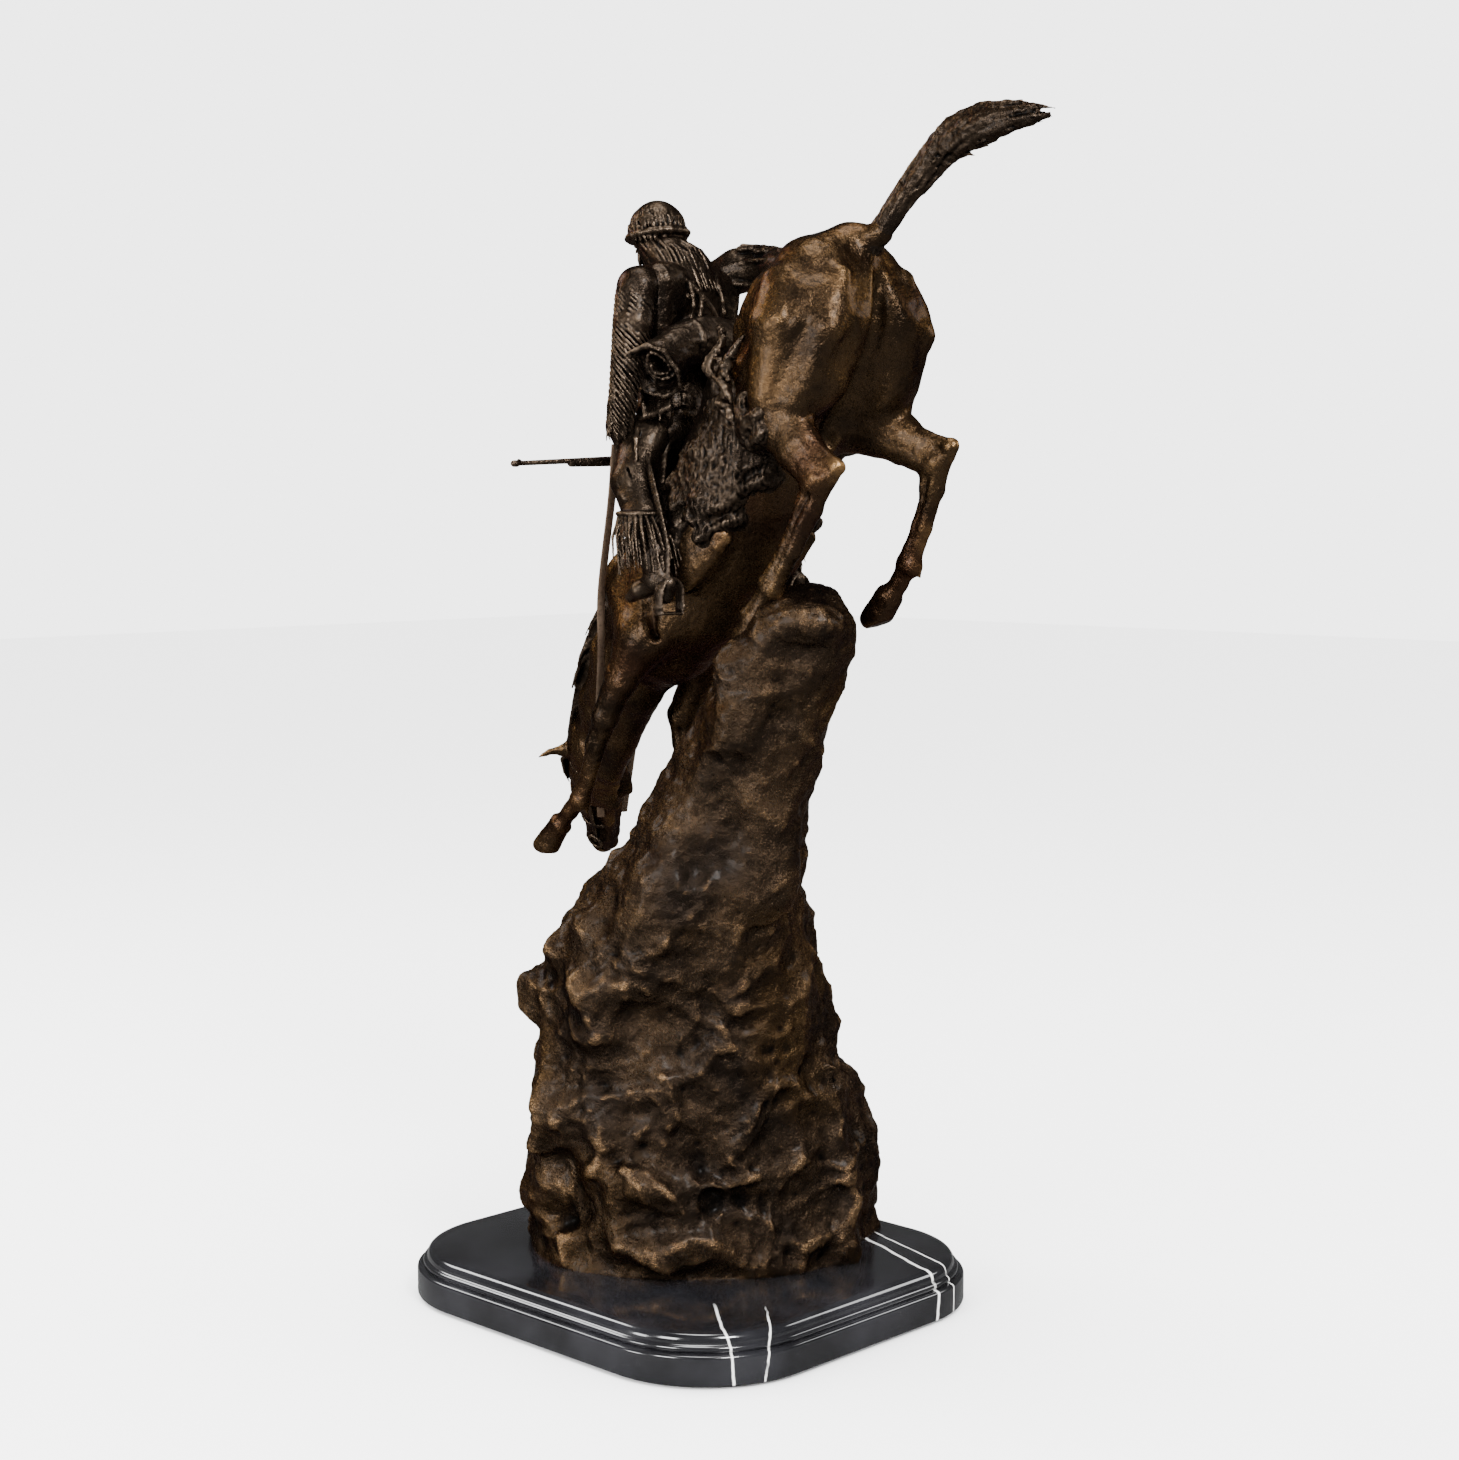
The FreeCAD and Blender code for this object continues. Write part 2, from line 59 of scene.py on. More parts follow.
def lattice(ix, iy, iz, seed):
    """A repeatable random number from 0 to 1 for each whole-number place."""
    n = ix.astype(np.uint32) * np.uint32(374761393)
    n = n + iy.astype(np.uint32) * np.uint32(668265263)
    n = n + iz.astype(np.uint32) * np.uint32(2246822519)
    n = n + np.uint32((seed * 974634777) % 2**32)
    n = (n ^ (n >> np.uint32(13))) * np.uint32(1274126177)
    n = (n ^ (n >> np.uint32(16))) * np.uint32(2654435761)
    return ((n >> np.uint32(8)) & np.uint32(0xFFFFFF)).astype(np.float32) / 16777215.0


def noise(points, size, seed=0):
    """Smooth noise from -1 to 1, with lumps of about the given size."""
    q = points / size
    whole = np.floor(q).astype(np.int64)
    part = q - whole
    part = part * part * (3.0 - 2.0 * part)
    total = 0.0
    for dx in (0, 1):
        wx = part[:, 0] if dx else 1.0 - part[:, 0]
        for dy in (0, 1):
            wy = part[:, 1] if dy else 1.0 - part[:, 1]
            for dz in (0, 1):
                wz = part[:, 2] if dz else 1.0 - part[:, 2]
                corner = lattice(whole[:, 0] + dx, whole[:, 1] + dy, whole[:, 2] + dz, seed)
                total = total + wx * wy * wz * corner
    return 2.0 * total - 1.0


def layered(points, size, octaves=4, seed=0, roughness=0.5):
    total = 0.0
    gain = 1.0
    for i in range(octaves):
        total = total + gain * noise(points + 17.3 * i, size * 0.5**i, seed + i)
        gain *= roughness
    return total


def pockets(points, size, seed=0):
    """Distances to the nearest and the second nearest of scattered points, in cell sizes."""
    q = points / size
    whole = np.floor(q).astype(np.int64)
    first = np.full(len(points), 9.0)
    second = np.full(len(points), 9.0)
    for dx in (-1, 0, 1):
        for dy in (-1, 0, 1):
            for dz in (-1, 0, 1):
                cx, cy, cz = whole[:, 0] + dx, whole[:, 1] + dy, whole[:, 2] + dz
                jx = cx + lattice(cx, cy, cz, seed) - q[:, 0]
                jy = cy + lattice(cx, cy, cz, seed + 1) - q[:, 1]
                jz = cz + lattice(cx, cy, cz, seed + 2) - q[:, 2]
                reach = np.sqrt(jx * jx + jy * jy + jz * jz)
                nearer = reach < first
                second = np.where(nearer, first, np.minimum(second, reach))
                first = np.where(nearer, reach, first)
    return first, second


# --- clay -------------------------------------------------------------------------

def unit(v):
    v = np.asarray(v, float)
    return v / max(np.linalg.norm(v), 1e-9)


def smooth_min(a, b, blend):
    if blend <= 0:
        return np.minimum(a, b)
    lap = np.maximum(blend - np.abs(a - b), 0.0) / blend
    return np.minimum(a, b) - lap * lap * blend * 0.25


class Bone:
    """A tapered length of clay with an oval section: half widths to the side and in depth."""

    def __init__(self, a, b, size_a, size_b, side=SIDEWAYS, blend=2.0, cut=False):
        self.a = np.asarray(a, float)
        self.b = np.asarray(b, float)
        self.length = np.linalg.norm(self.b - self.a)
        self.along = unit(self.b - self.a) if self.length > 1e-6 else np.array([0, 0, 1.0])
        side = np.asarray(side, float)
        side = side - self.along * side.dot(self.along)
        if np.linalg.norm(side) < 1e-3:
            side = np.cross(self.along, (1.0, 0.0, 0.0))
        self.side = unit(side)
        self.deep = np.cross(self.along, self.side)
        self.size_a = size_a
        self.size_b = size_b
        self.blend = blend
        self.cut = cut
        reach = max(*size_a, *size_b) + blend + 6.0
        self.low = np.minimum(self.a, self.b) - reach
        self.high = np.maximum(self.a, self.b) + reach

    def distance(self, x, y, z):
        x, y, z = x - self.a[0], y - self.a[1], z - self.a[2]
        t = x * self.along[0] + y * self.along[1] + z * self.along[2]
        s = x * self.side[0] + y * self.side[1] + z * self.side[2]
        u = x * self.deep[0] + y * self.deep[1] + z * self.deep[2]
        part = np.clip(t / max(self.length, 1e-6), 0.0, 1.0)
        past = t - part * self.length
        half_s = self.size_a[0] + (self.size_b[0] - self.size_a[0]) * part
        half_u = self.size_a[1] + (self.size_b[1] - self.size_a[1]) * part
        least = np.minimum(half_s, half_u)
        ratio = np.sqrt((s / half_s)**2 + (u / half_u)**2 + (past / least)**2)
        return (ratio - 1.0) * least


def bones(stations, side=SIDEWAYS, blend=3.0, mirror=LEFT, cut=False):
    """A chain of bones through stations of x, y, z, half width, half depth."""
    made = []
    for first, second in zip(stations, stations[1:]):
        a = (first[0], first[1] * mirror, first[2])
        b = (second[0], second[1] * mirror, second[2])
        made.append(Bone(a, b, (first[3], first[4]), (second[3], second[4]), side, blend, cut))
    return made


def lock(points, start, end, blend=0.8, cut=False, flat=1.0, side=SIDEWAYS):
    """A strand that tapers from one radius to another through a few points."""
    count = len(points) - 1
    made = []
    for i in range(count):
        ra = start + (end - start) * i / count
        rb = start + (end - start) * (i + 1) / count
        made.append(Bone(points[i], points[i + 1], (ra, ra * flat), (rb, rb * flat), side, blend, cut))
    return made


def lump(centre, size, blend=3.0, cut=False, along=(0.0, 0.0, 1.0), side=SIDEWAYS):
    """A rounded lump, with half widths to the side, in depth and along."""
    along = unit(along)
    half = max(size[2] - min(size[0], size[1]), 0.01)
    a = np.asarray(centre, float) - along * half
    b = np.asarray(centre, float) + along * half
    return Bone(a, b, (size[0], size[1]), (size[0], size[1]), side, blend, cut)


def curve_through(points, count):
    """Evenly spaced places on a smooth line through the points."""
    p = np.asarray(points, float)
    ends = np.vstack([2 * p[0] - p[1], p, 2 * p[-1] - p[-2]])
    steps = np.linspace(0, len(p) - 1 - 1e-9, count)
    i = steps.astype(int)
    t = (steps - i)[:, None]
    a, b, c, d = ends[i], ends[i + 1], ends[i + 2], ends[i + 3]
    return 0.5 * (2 * b + (c - a) * t + (2 * a - 5 * b + 4 * c - d) * t**2 + (3 * b - a - 3 * c + d) * t**3)


class Clay:
    """Clay on a grid, from low to high, one voxel a step."""

    def __init__(self, low, high, voxel):
        self.voxel = voxel
        self.low = np.floor(np.asarray(low, float) / voxel) * voxel
        self.count = np.ceil((np.asarray(high, float) - self.low) / voxel).astype(int) + 1
        self.field = np.full(self.count, FAR, np.float32)

    def window(self, low, high):
        first = np.clip(np.floor((low - self.low) / self.voxel).astype(int), 0, self.count)
        last = np.clip(np.ceil((high - self.low) / self.voxel).astype(int) + 1, 0, self.count)
        if (last <= first).any():
            return None
        part = tuple(slice(f, l) for f, l in zip(first, last))
        x, y, z = (self.low[k] + self.voxel * np.arange(first[k], last[k], dtype=np.float32)
                   for k in range(3))
        return part, x[:, None, None], y[None, :, None], z[None, None, :]

    def add(self, pieces):
        for piece in pieces:
            found = self.window(piece.low, piece.high)
            if found is None:
                continue
            part, x, y, z = found
            near = piece.distance(x, y, z)
            if piece.cut:
                self.field[part] = -smooth_min(-self.field[part], near, piece.blend)
            else:
                self.field[part] = smooth_min(self.field[part], near, piece.blend)
        return self

    def like(self):
        twin = Clay.__new__(Clay)
        twin.voxel, twin.low, twin.count = self.voxel, self.low, self.count
        twin.field = np.full(self.count, FAR, np.float32)
        return twin


def reach_of(pieces, margin=3.0):
    kept = [piece for piece in pieces if not piece.cut]
    low = np.min([piece.low + piece.blend + 4.0 for piece in kept], axis=0) - margin
    high = np.max([piece.high - piece.blend - 4.0 for piece in kept], axis=0) + margin
    return low, high


# --- skins ------------------------------------------------------------------------

class Skin:
    """The surface of some clay: points in millimetres and four-sided faces."""

    def __init__(self, clay):
        band = 3.0 * clay.voxel
        grid = openvdb.FloatGrid(band)
        field = np.clip(clay.field, -band, band)
        for axis in range(3):
            edge = np.moveaxis(field, axis, 0)
            edge[0] = np.maximum(edge[0], clay.voxel)
            edge[-1] = np.maximum(edge[-1], clay.voxel)
        grid.copyFromArray(np.ascontiguousarray(field))
        points, quads = grid.convertToQuads(0.0)
        self.points = points.astype(np.float64) * clay.voxel + clay.low
        self.quads = quads.astype(np.int64)
        self.keep_large()
        a = self.quads
        self.ends = np.concatenate([a[:, [0, 1]], a[:, [1, 2]], a[:, [2, 3]], a[:, [3, 0]]])
        self.touching = np.bincount(self.ends[:, 0], minlength=len(self.points))
        self.touching = self.touching + np.bincount(self.ends[:, 1], minlength=len(self.points))
        self.marks = {}
        self.relax(0.5, 1)

    def keep_large(self):
        """Drops crumbs: only the largest joined piece stays."""
        label = np.arange(len(self.points))
        while True:
            lowest = label[self.quads].min(axis=1)
            new = label.copy()
            for k in range(4):
                np.minimum.at(new, self.quads[:, k], lowest)
            new = new[new]
            if (new == label).all():
                break
            label = new
        names, counts = np.unique(label, return_counts=True)
        kept = label == names[counts.argmax()]
        place = np.cumsum(kept) - 1
        self.quads = place[self.quads[kept[self.quads[:, 0]]]]
        self.points = self.points[kept]

    def around(self, values):
        """Each point's mean over its neighbours."""
        total = np.zeros_like(values)
        for k in range(values.shape[1]):
            total[:, k] = np.bincount(self.ends[:, 0], values[self.ends[:, 1], k], len(values))
            total[:, k] += np.bincount(self.ends[:, 1], values[self.ends[:, 0], k], len(values))
        return total / self.touching[:, None]

    def relax(self, amount, times):
        for _ in range(times):
            self.points = self.points + amount * (self.around(self.points) - self.points)
        return self

    def normals(self):
        p = self.points
        a, b, c, d = (p[self.quads[:, k]] for k in range(4))
        face = np.cross(c - a, d - b)
        total = np.zeros_like(p)
        for k in range(4):
            for axis in range(3):
                total[:, axis] += np.bincount(self.quads[:, k], face[:, axis], len(p))
        return total / np.maximum(np.linalg.norm(total, axis=1), 1e-9)[:, None]

    def push(self, amount):
        """Moves the surface out along its normals by an amount for each point."""
        self.points = self.points + self.normals() * np.asarray(amount)[:, None]
        return self

    def hollows(self, fine=0.75, broad=1.5, steps=14):
        """Marks recesses (towards 1) and high points (towards 0), at two scales."""
        normal = self.normals()
        step = np.linalg.norm(self.points[self.ends[:, 0]] - self.points[self.ends[:, 1]], axis=1).mean()
        for name, times, gain in (("fine", 2, fine), ("broad", steps, broad)):
            mean = self.points
            for _ in range(times):
                mean = self.around(mean)
            curve = ((mean - self.points) * normal).sum(axis=1) * 2.0 / (step * step * times)
            self.marks[name] = np.clip(0.5 + curve * gain, 0.0, 1.0)
        return self


def make_piece(name, skin, material, nodes):
    """A mesh piece from a skin: its material, and what it stands for."""
    if not skin.marks:
        skin.hollows()
    mesh = bpy.data.meshes.new(name)
    points = (skin.points + skin.place) * METRES
    mesh.vertices.add(len(points))
    mesh.vertices.foreach_set("co", points.astype(np.float32).ravel())
    mesh.loops.add(skin.quads.size)
    mesh.loops.foreach_set("vertex_index", skin.quads.astype(np.int32).ravel())
    mesh.polygons.add(len(skin.quads))
    mesh.polygons.foreach_set("loop_start", np.arange(0, skin.quads.size, 4, dtype=np.int32))
    mesh.polygons.foreach_set("use_smooth", np.ones(len(skin.quads), bool))
    mesh.update(calc_edges=True)
    mesh.validate()
    for mark, values in skin.marks.items():
        layer = mesh.attributes.new(mark, "FLOAT", "POINT")
        layer.data.foreach_set("value", values.astype(np.float32))
    piece = bpy.data.objects.new(name, mesh)
    bpy.context.collection.objects.link(piece)
    return settle(piece, material, nodes)


def settle(piece, material, nodes):
    piece.data.materials.clear()
    piece.data.materials.append(material)
    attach(piece, "root")
    if nodes:
        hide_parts(*nodes)
    return piece


def sculpt(pieces, voxel, place=FIGURE, margin=3.0):
    """A skin over some clay pieces."""
    low, high = reach_of(pieces, margin)
    skin = Skin(Clay(low, high, voxel).add(pieces))
    skin.place = place
    return skin


# --- materials --------------------------------------------------------------------

class Nodes:
    """Short calls for building a material's nodes."""

    def __init__(self, name):
        self.material = bpy.data.materials.new(name)
        self.material.use_nodes = True
        self.tree = self.material.node_tree
        self.tree.nodes.clear()
        self.out = self.tree.nodes.new("ShaderNodeOutputMaterial")
        self.shader = self.tree.nodes.new("ShaderNodeBsdfPrincipled")
        self.tree.links.new(self.shader.outputs[0], self.out.inputs["Surface"])
        self.coords = self.tree.nodes.new("ShaderNodeTexCoord").outputs["Object"]

    def link(self, source, target):
        self.tree.links.new(source, target)
        return source

    def put(self, target, value):
        if hasattr(value, "is_output"):
            self.tree.links.new(value, target)
        else:
            target.default_value = value

    def noise(self, scale, detail=4.0, roughness=0.55, distort=0.0):
        node = self.tree.nodes.new("ShaderNodeTexNoise")
        node.inputs["Scale"].default_value = scale
        node.inputs["Detail"].default_value = detail
        node.inputs["Roughness"].default_value = roughness
        node.inputs["Distortion"].default_value = distort
        self.link(self.coords, node.inputs["Vector"])
        return node.outputs["Fac"]

    def cells(self, scale, feature="F1"):
        node = self.tree.nodes.new("ShaderNodeTexVoronoi")
        node.feature = feature
        node.inputs["Scale"].default_value = scale
        self.link(self.coords, node.inputs["Vector"])
        return node.outputs["Distance"]

    def mark(self, name):
        node = self.tree.nodes.new("ShaderNodeAttribute")
        node.attribute_name = name
        return node.outputs["Fac"]

    def ramp(self, value, stops):
        node = self.tree.nodes.new("ShaderNodeValToRGB")
        ramp = node.color_ramp
        while len(ramp.elements) < len(stops):
            ramp.elements.new(0.5)
        for element, (place, colour) in zip(ramp.elements, stops):
            element.position = place
            element.color = colour if len(colour) == 4 else (*colour, 1.0)
        self.link(value, node.inputs["Fac"])
        return node.outputs["Color"]

    def spread(self, value, low, high, out_low=0.0, out_high=1.0):
        node = self.tree.nodes.new("ShaderNodeMapRange")
        self.put(node.inputs["Value"], value)
        for socket, number in zip(("From Min", "From Max", "To Min", "To Max"),
                                  (low, high, out_low, out_high)):
            node.inputs[socket].default_value = number
        return node.outputs["Result"]

    def maths(self, kind, a, b=0.5):
        node = self.tree.nodes.new("ShaderNodeMath")
        node.operation = kind
        self.put(node.inputs[0], a)
        self.put(node.inputs[1], b)
        return node.outputs[0]

    def blend(self, factor, a, b, kind="MIX"):
        node = self.tree.nodes.new("ShaderNodeMix")
        node.data_type = "RGBA"
        node.blend_type = kind
        self.put(node.inputs[0], factor)
        self.put(node.inputs[6], a if hasattr(a, "is_output") else (*a, 1.0))
        self.put(node.inputs[7], b if hasattr(b, "is_output") else (*b, 1.0))
        return node.outputs[2]

    def bump(self, height, strength, distance, after=None):
        node = self.tree.nodes.new("ShaderNodeBump")
        node.inputs["Strength"].default_value = strength
        node.inputs["Distance"].default_value = distance
        self.link(height, node.inputs["Height"])
        if after is not None:
            self.link(after, node.inputs["Normal"])
        return node.outputs["Normal"]


def bronze(name, deep, mid, high, gold, tint=None, grain=420.0, polish=0.42, bump=0.25, rub=1.0):
    """Patinated bronze: near black in the recesses, as dark patina in the fine ones and painted shade in
    the broad hollows; brown on the flats, rubbed on the high points.
    """
    n = Nodes(name)
    patch = n.noise(26.0, 5.0, 0.6)
    cloud = n.noise(9.0, 3.0, 0.5, distort=0.6)
    speck = n.noise(grain, 3.0, 0.65)
    fine = n.mark("fine")
    broad = n.mark("broad")
    colour = n.blend(n.spread(patch, 0.35, 0.70), mid, high)
    if tint is not None:
        colour = n.blend(n.spread(cloud, 0.52, 0.68, 0.0, 0.55), colour, tint)
    rubbed = n.maths("MULTIPLY", n.spread(broad, 0.42, 0.20), n.spread(patch, 0.45, 0.68))
    colour = n.blend(n.maths("MULTIPLY", rubbed, 0.5 * rub), colour, gold)
    edge = n.spread(fine, 0.38, 0.14, 0.0, 0.5 * rub)
    colour = n.blend(edge, colour, gold)
    # Painted shade: the recesses go near black and rougher, with dark patina in fine crevices and painted
    # shade across broad hollows.
    recess_patina_and_shade = n.maths("MAXIMUM", n.spread(fine, 0.54, 0.74), n.spread(broad, 0.57, 0.80))
    colour = n.blend(recess_patina_and_shade, colour, deep)
    colour = n.blend(n.spread(speck, 0.52, 0.72, 0.0, 0.5), colour, deep)
    n.link(colour, n.shader.inputs["Base Color"])
    n.shader.inputs["Metallic"].default_value = 0.94
    n.shader.inputs["Specular Tint"].default_value = (0.42, 0.34, 0.27, 1.0)
    n.shader.inputs["Coat Weight"].default_value = 0.05
    n.shader.inputs["Coat Roughness"].default_value = 0.22
    rough = n.spread(patch, 0.3, 0.75, polish - 0.08, polish + 0.08)
    rough = n.maths("ADD", rough, n.spread(recess_patina_and_shade, 0.0, 1.0, 0.0, 0.18))
    n.link(n.maths("ADD", rough, n.spread(speck, 0.4, 0.7, -0.05, 0.08)), n.shader.inputs["Roughness"])
    relief = n.bump(n.noise(170.0, 5.0, 0.62), bump, 0.003)
    relief = n.bump(speck, bump, 0.0016, relief)
    n.link(relief, n.shader.inputs["Normal"])
    return n.material


BLACK = (0.0030, 0.0024, 0.002)
UMBER = (0.022, 0.0138, 0.0082)
BROWN = (0.078, 0.045, 0.021)
GOLD = (0.40, 0.23, 0.095)
PALE = (0.25, 0.18, 0.125)
RUSSET = (0.050, 0.020, 0.010)


def materials():
    made = {}
    made["horse"] = bronze("bronze_horse", BLACK, UMBER, BROWN, GOLD, RUSSET,
                           polish=0.27, bump=0.36, rub=1.15)
    made["rock"] = bronze("bronze_rock", BLACK, (0.019, 0.013, 0.009), (0.055, 0.034, 0.019),
                          (0.30, 0.18, 0.09), (0.070, 0.038, 0.013), grain=560.0, polish=0.25,
                          bump=0.60, rub=0.9)
    made["rider"] = bronze("bronze_rider", BLACK, (0.018, 0.0125, 0.009), (0.044, 0.031, 0.021), PALE,
                           polish=0.30, bump=0.32, rub=0.5)
    made["hair"] = bronze("bronze_hair", BLACK, (0.018, 0.0125, 0.009), (0.038, 0.026, 0.017), PALE,
                          polish=0.32, bump=0.35, rub=0.4)
    made["tack"] = bronze("bronze_tack", BLACK, (0.020, 0.014, 0.010), (0.044, 0.032, 0.023), PALE,
                          polish=0.32, bump=0.4, rub=0.55)
    made["strap"] = bronze("bronze_strap", BLACK, (0.16, 0.105, 0.072), (0.26, 0.18, 0.125), PALE,
                           polish=0.36, bump=0.1)
    made["marble"] = marble()
    made["felt"] = felt()
    made["steel"] = steel()
    return made


def vein_lines(n, centre, direction, width, wobble):
    """White where a thin wandering plane crosses the stone."""
    warp = n.tree.nodes.new("ShaderNodeTexNoise")
    warp.inputs["Scale"].default_value = 14.0
    warp.inputs["Detail"].default_value = 5.0
    n.link(n.coords, warp.inputs["Vector"])
    shift = n.tree.nodes.new("ShaderNodeVectorMath")
    shift.operation = "SCALE"
    n.link(warp.outputs["Color"], shift.inputs[0])
    shift.inputs["Scale"].default_value = wobble
    moved = n.tree.nodes.new("ShaderNodeVectorMath")
    moved.operation = "ADD"
    n.link(n.coords, moved.inputs[0])
    n.link(shift.outputs[0], moved.inputs[1])
    dot = n.tree.nodes.new("ShaderNodeVectorMath")
    dot.operation = "DOT_PRODUCT"
    n.link(moved.outputs[0], dot.inputs[0])
    dot.inputs[1].default_value = direction
    away = n.maths("SUBTRACT", dot.outputs["Value"], sum(c * d for c, d in zip(centre, direction)))
    away = n.maths("ABSOLUTE", away, 0.0)
    return n.spread(away, width, width * 0.35)


def near_to(n, centre, reach):
    """1 about a centre, falling to 0 at a reach from it."""
    away = n.tree.nodes.new("ShaderNodeVectorMath")
    away.operation = "DISTANCE"
    n.link(n.coords, away.inputs[0])
    away.inputs[1].default_value = centre
    return n.spread(away.outputs["Value"], reach, reach * 0.75)


def marble():
    """Polished black marble: white veins, thin hairlines and a dust of pale flecks."""
    n = Nodes("black_marble")
    base = n.blend(n.spread(n.noise(18.0, 6.0, 0.6), 0.4, 0.75), (0.0035, 0.0035, 0.004),
                   (0.011, 0.011, 0.013))
    flecks = n.maths("MULTIPLY", n.spread(n.cells(900.0), 0.16, 0.05), n.spread(n.noise(60.0), 0.5, 0.75))
    colour = n.blend(n.maths("MULTIPLY", flecks, 0.5), base, (0.25, 0.25, 0.25))
    broken = n.spread(n.noise(40.0, 6.0, 0.7), 0.34, 0.46)
    veins = [
        ((-0.115, -0.064, 0.03), (0.29, 0.956, 0.05), 0.0016, 0.016, 0.075),
        ((-0.104, -0.084, 0.03), (0.22, 0.975, 0.05), 0.0009, 0.014, 0.060),
        ((-0.125, 0.108, 0.02), (0.61, 0.79, -0.10), 0.0010, 0.016, 0.055),
        ((-0.140, 0.098, 0.02), (0.67, 0.74, 0.08), 0.0007, 0.020, 0.055),
        ((0.105, -0.02, 0.03), (0.85, 0.52, 0.05), 0.0012, 0.030, 0.090),
        ((0.02, -0.118, 0.02), (-0.45, 0.89, 0.05), 0.0007, 0.034, 0.080),
    ]
    for centre, direction, width, wobble, reach in veins:
        line = n.maths("MULTIPLY", vein_lines(n, centre, direction, width, wobble),
                       near_to(n, centre, reach))
        colour = n.blend(n.maths("MULTIPLY", line, broken), colour, (0.62, 0.62, 0.60))
    n.link(colour, n.shader.inputs["Base Color"])
    n.shader.inputs["Specular IOR Level"].default_value = 0.6
    n.shader.inputs["Coat Weight"].default_value = 0.4
    n.shader.inputs["Coat Roughness"].default_value = 0.05
    smear = n.spread(n.noise(35.0, 4.0, 0.6), 0.3, 0.8, 0.09, 0.22)
    n.link(smear, n.shader.inputs["Roughness"])
    n.link(n.bump(n.noise(220.0, 2.0), 0.03, 0.0004), n.shader.inputs["Normal"])
    return n.material


def felt():
    n = Nodes("black_felt")
    fibre = n.noise(900.0, 4.0, 0.7)
    n.link(n.ramp(fibre, [(0.3, (0.006, 0.006, 0.006)), (0.7, (0.03, 0.03, 0.03))]),
           n.shader.inputs["Base Color"])
    n.shader.inputs["Roughness"].default_value = 0.95
    n.shader.inputs["Sheen Weight"].default_value = 0.3
    n.link(n.bump(fibre, 0.6, 0.0004), n.shader.inputs["Normal"])
    return n.material


def steel():
    n = Nodes("zinc_plated_steel")
    cloud = n.noise(160.0, 4.0, 0.6)
    n.link(n.ramp(cloud, [(0.3, (0.32, 0.31, 0.28)), (0.7, (0.55, 0.54, 0.50))]),
           n.shader.inputs["Base Color"])
    n.shader.inputs["Metallic"].default_value = 1.0
    n.link(n.spread(cloud, 0.3, 0.7, 0.28, 0.46), n.shader.inputs["Roughness"])
    n.link(n.bump(n.noise(700.0, 2.0), 0.15, 0.0003), n.shader.inputs["Normal"])
    return n.material


# --- the base ---------------------------------------------------------------------

BASE_HALF_X = 150.0
BASE_HALF_Y = 136.0
BASE_CORNER = 75.0
FELT_THICK = 1.5
STUD_PLACES = [(62.0, 30.0), (-18.0, 38.0), (8.0, -82.0)]


def corner_arc(centre, radius, start, count):
    """Points of a quarter turn, from the angle start."""
    made = []
    for i in range(count + 1):
        angle = math.radians(start + 90.0 * i / count)
        made.append((centre[0] + radius * math.cos(angle), centre[1] + radius * math.sin(angle)))
    return made


def base_ring(inset):
    half_x, half_y = BASE_HALF_X - inset, BASE_HALF_Y - inset
    radius = BASE_CORNER - inset
    ring = []
    for sx, sy, start in ((1, 1, 0), (-1, 1, 90), (-1, -1, 180), (1, -1, 270)):
        ring += corner_arc((sx * (half_x - radius), sy * (half_y - radius)), radius, start, 24)
    return ring


def base_profile():
    """Inset and height up the moulded edge: a plain side, a fillet, a cove and a bead."""
    steps = [(1.2, FELT_THICK), (0.35, FELT_THICK + 0.4), (0.0, FELT_THICK + 1.2), (0.0, 10.0), (0.0, 17.4)]
    steps += [(0.3, 18.3), (1.0, 18.9), (2.2, 19.1)]
    for i in range(6):
        angle = math.radians(-60.0 + 30.0 * i)
        steps.append((5.4 - 1.9 * math.cos(angle), 21.4 + 2.0 * math.sin(angle)))
    for i in range(7):
        angle = math.radians(90.0 * i / 6)
        steps.append((6.0 + 4.2 * (1.0 - math.cos(angle)), 23.9 + 5.6 * math.sin(angle)))
    steps += [(11.0, 29.85), (12.2, BASE_TOP)]
    return steps


def marble_base(stuff):
    rings = [[(x * METRES, y * METRES, z * METRES) for x, y in base_ring(inset)]
             for inset, z in base_profile()]
    size = len(rings[0])
    points = [point for ring in rings for point in ring]
    faces = [list(range(size))[::-1], [len(points) - size + i for i in range(size)]]
    for level in range(len(rings) - 1):
        for i in range(size):
            j = (i + 1) % size
            low = level * size
            faces.append([low + i, low + j, low + size + j, low + size + i])
    mesh = bpy.data.meshes.new("marble_base_slab")
    mesh.from_pydata(points, [], faces)
    mesh.update()
    piece = bpy.data.objects.new("marble_base_slab", mesh)
    bpy.context.collection.objects.link(piece)
    drill(piece)
    piece.data.shade_smooth()
    piece.data.set_sharp_from_angle(angle=math.radians(35))
    settle(piece, stuff["marble"], ["marble_base"])


def drill(piece):
    """The three clearance holes and their counterbores under the base."""
    bore_radius, bore_depth = 0.013, 0.014
    hole_radius, hole_depth = 0.0045, 0.035
    below = 0.005
    for x, y in STUD_PLACES:
        for radius, top in ((bore_radius, bore_depth), (hole_radius, hole_depth)):
            bpy.ops.mesh.primitive_cylinder_add(vertices=48, radius=radius, depth=top + below,
                                                location=(x / 1000, y / 1000, (top - below) / 2))
            tool = bpy.context.object
            cutter = piece.modifiers.new("hole", "BOOLEAN")
            cutter.operation = "DIFFERENCE"
            cutter.solver = "EXACT"
            cutter.object = tool
            bake(piece)
            bpy.data.objects.remove(tool)


def bake(piece):
    """Applies what the modifiers make."""
    graph = bpy.context.evaluated_depsgraph_get()
    mesh = bpy.data.meshes.new_from_object(piece.evaluated_get(graph))
    piece.modifiers.clear()
    old = piece.data
    piece.data = mesh
    bpy.data.meshes.remove(old)
    mesh.name = piece.name


# --- the rock ---------------------------------------------------------------------

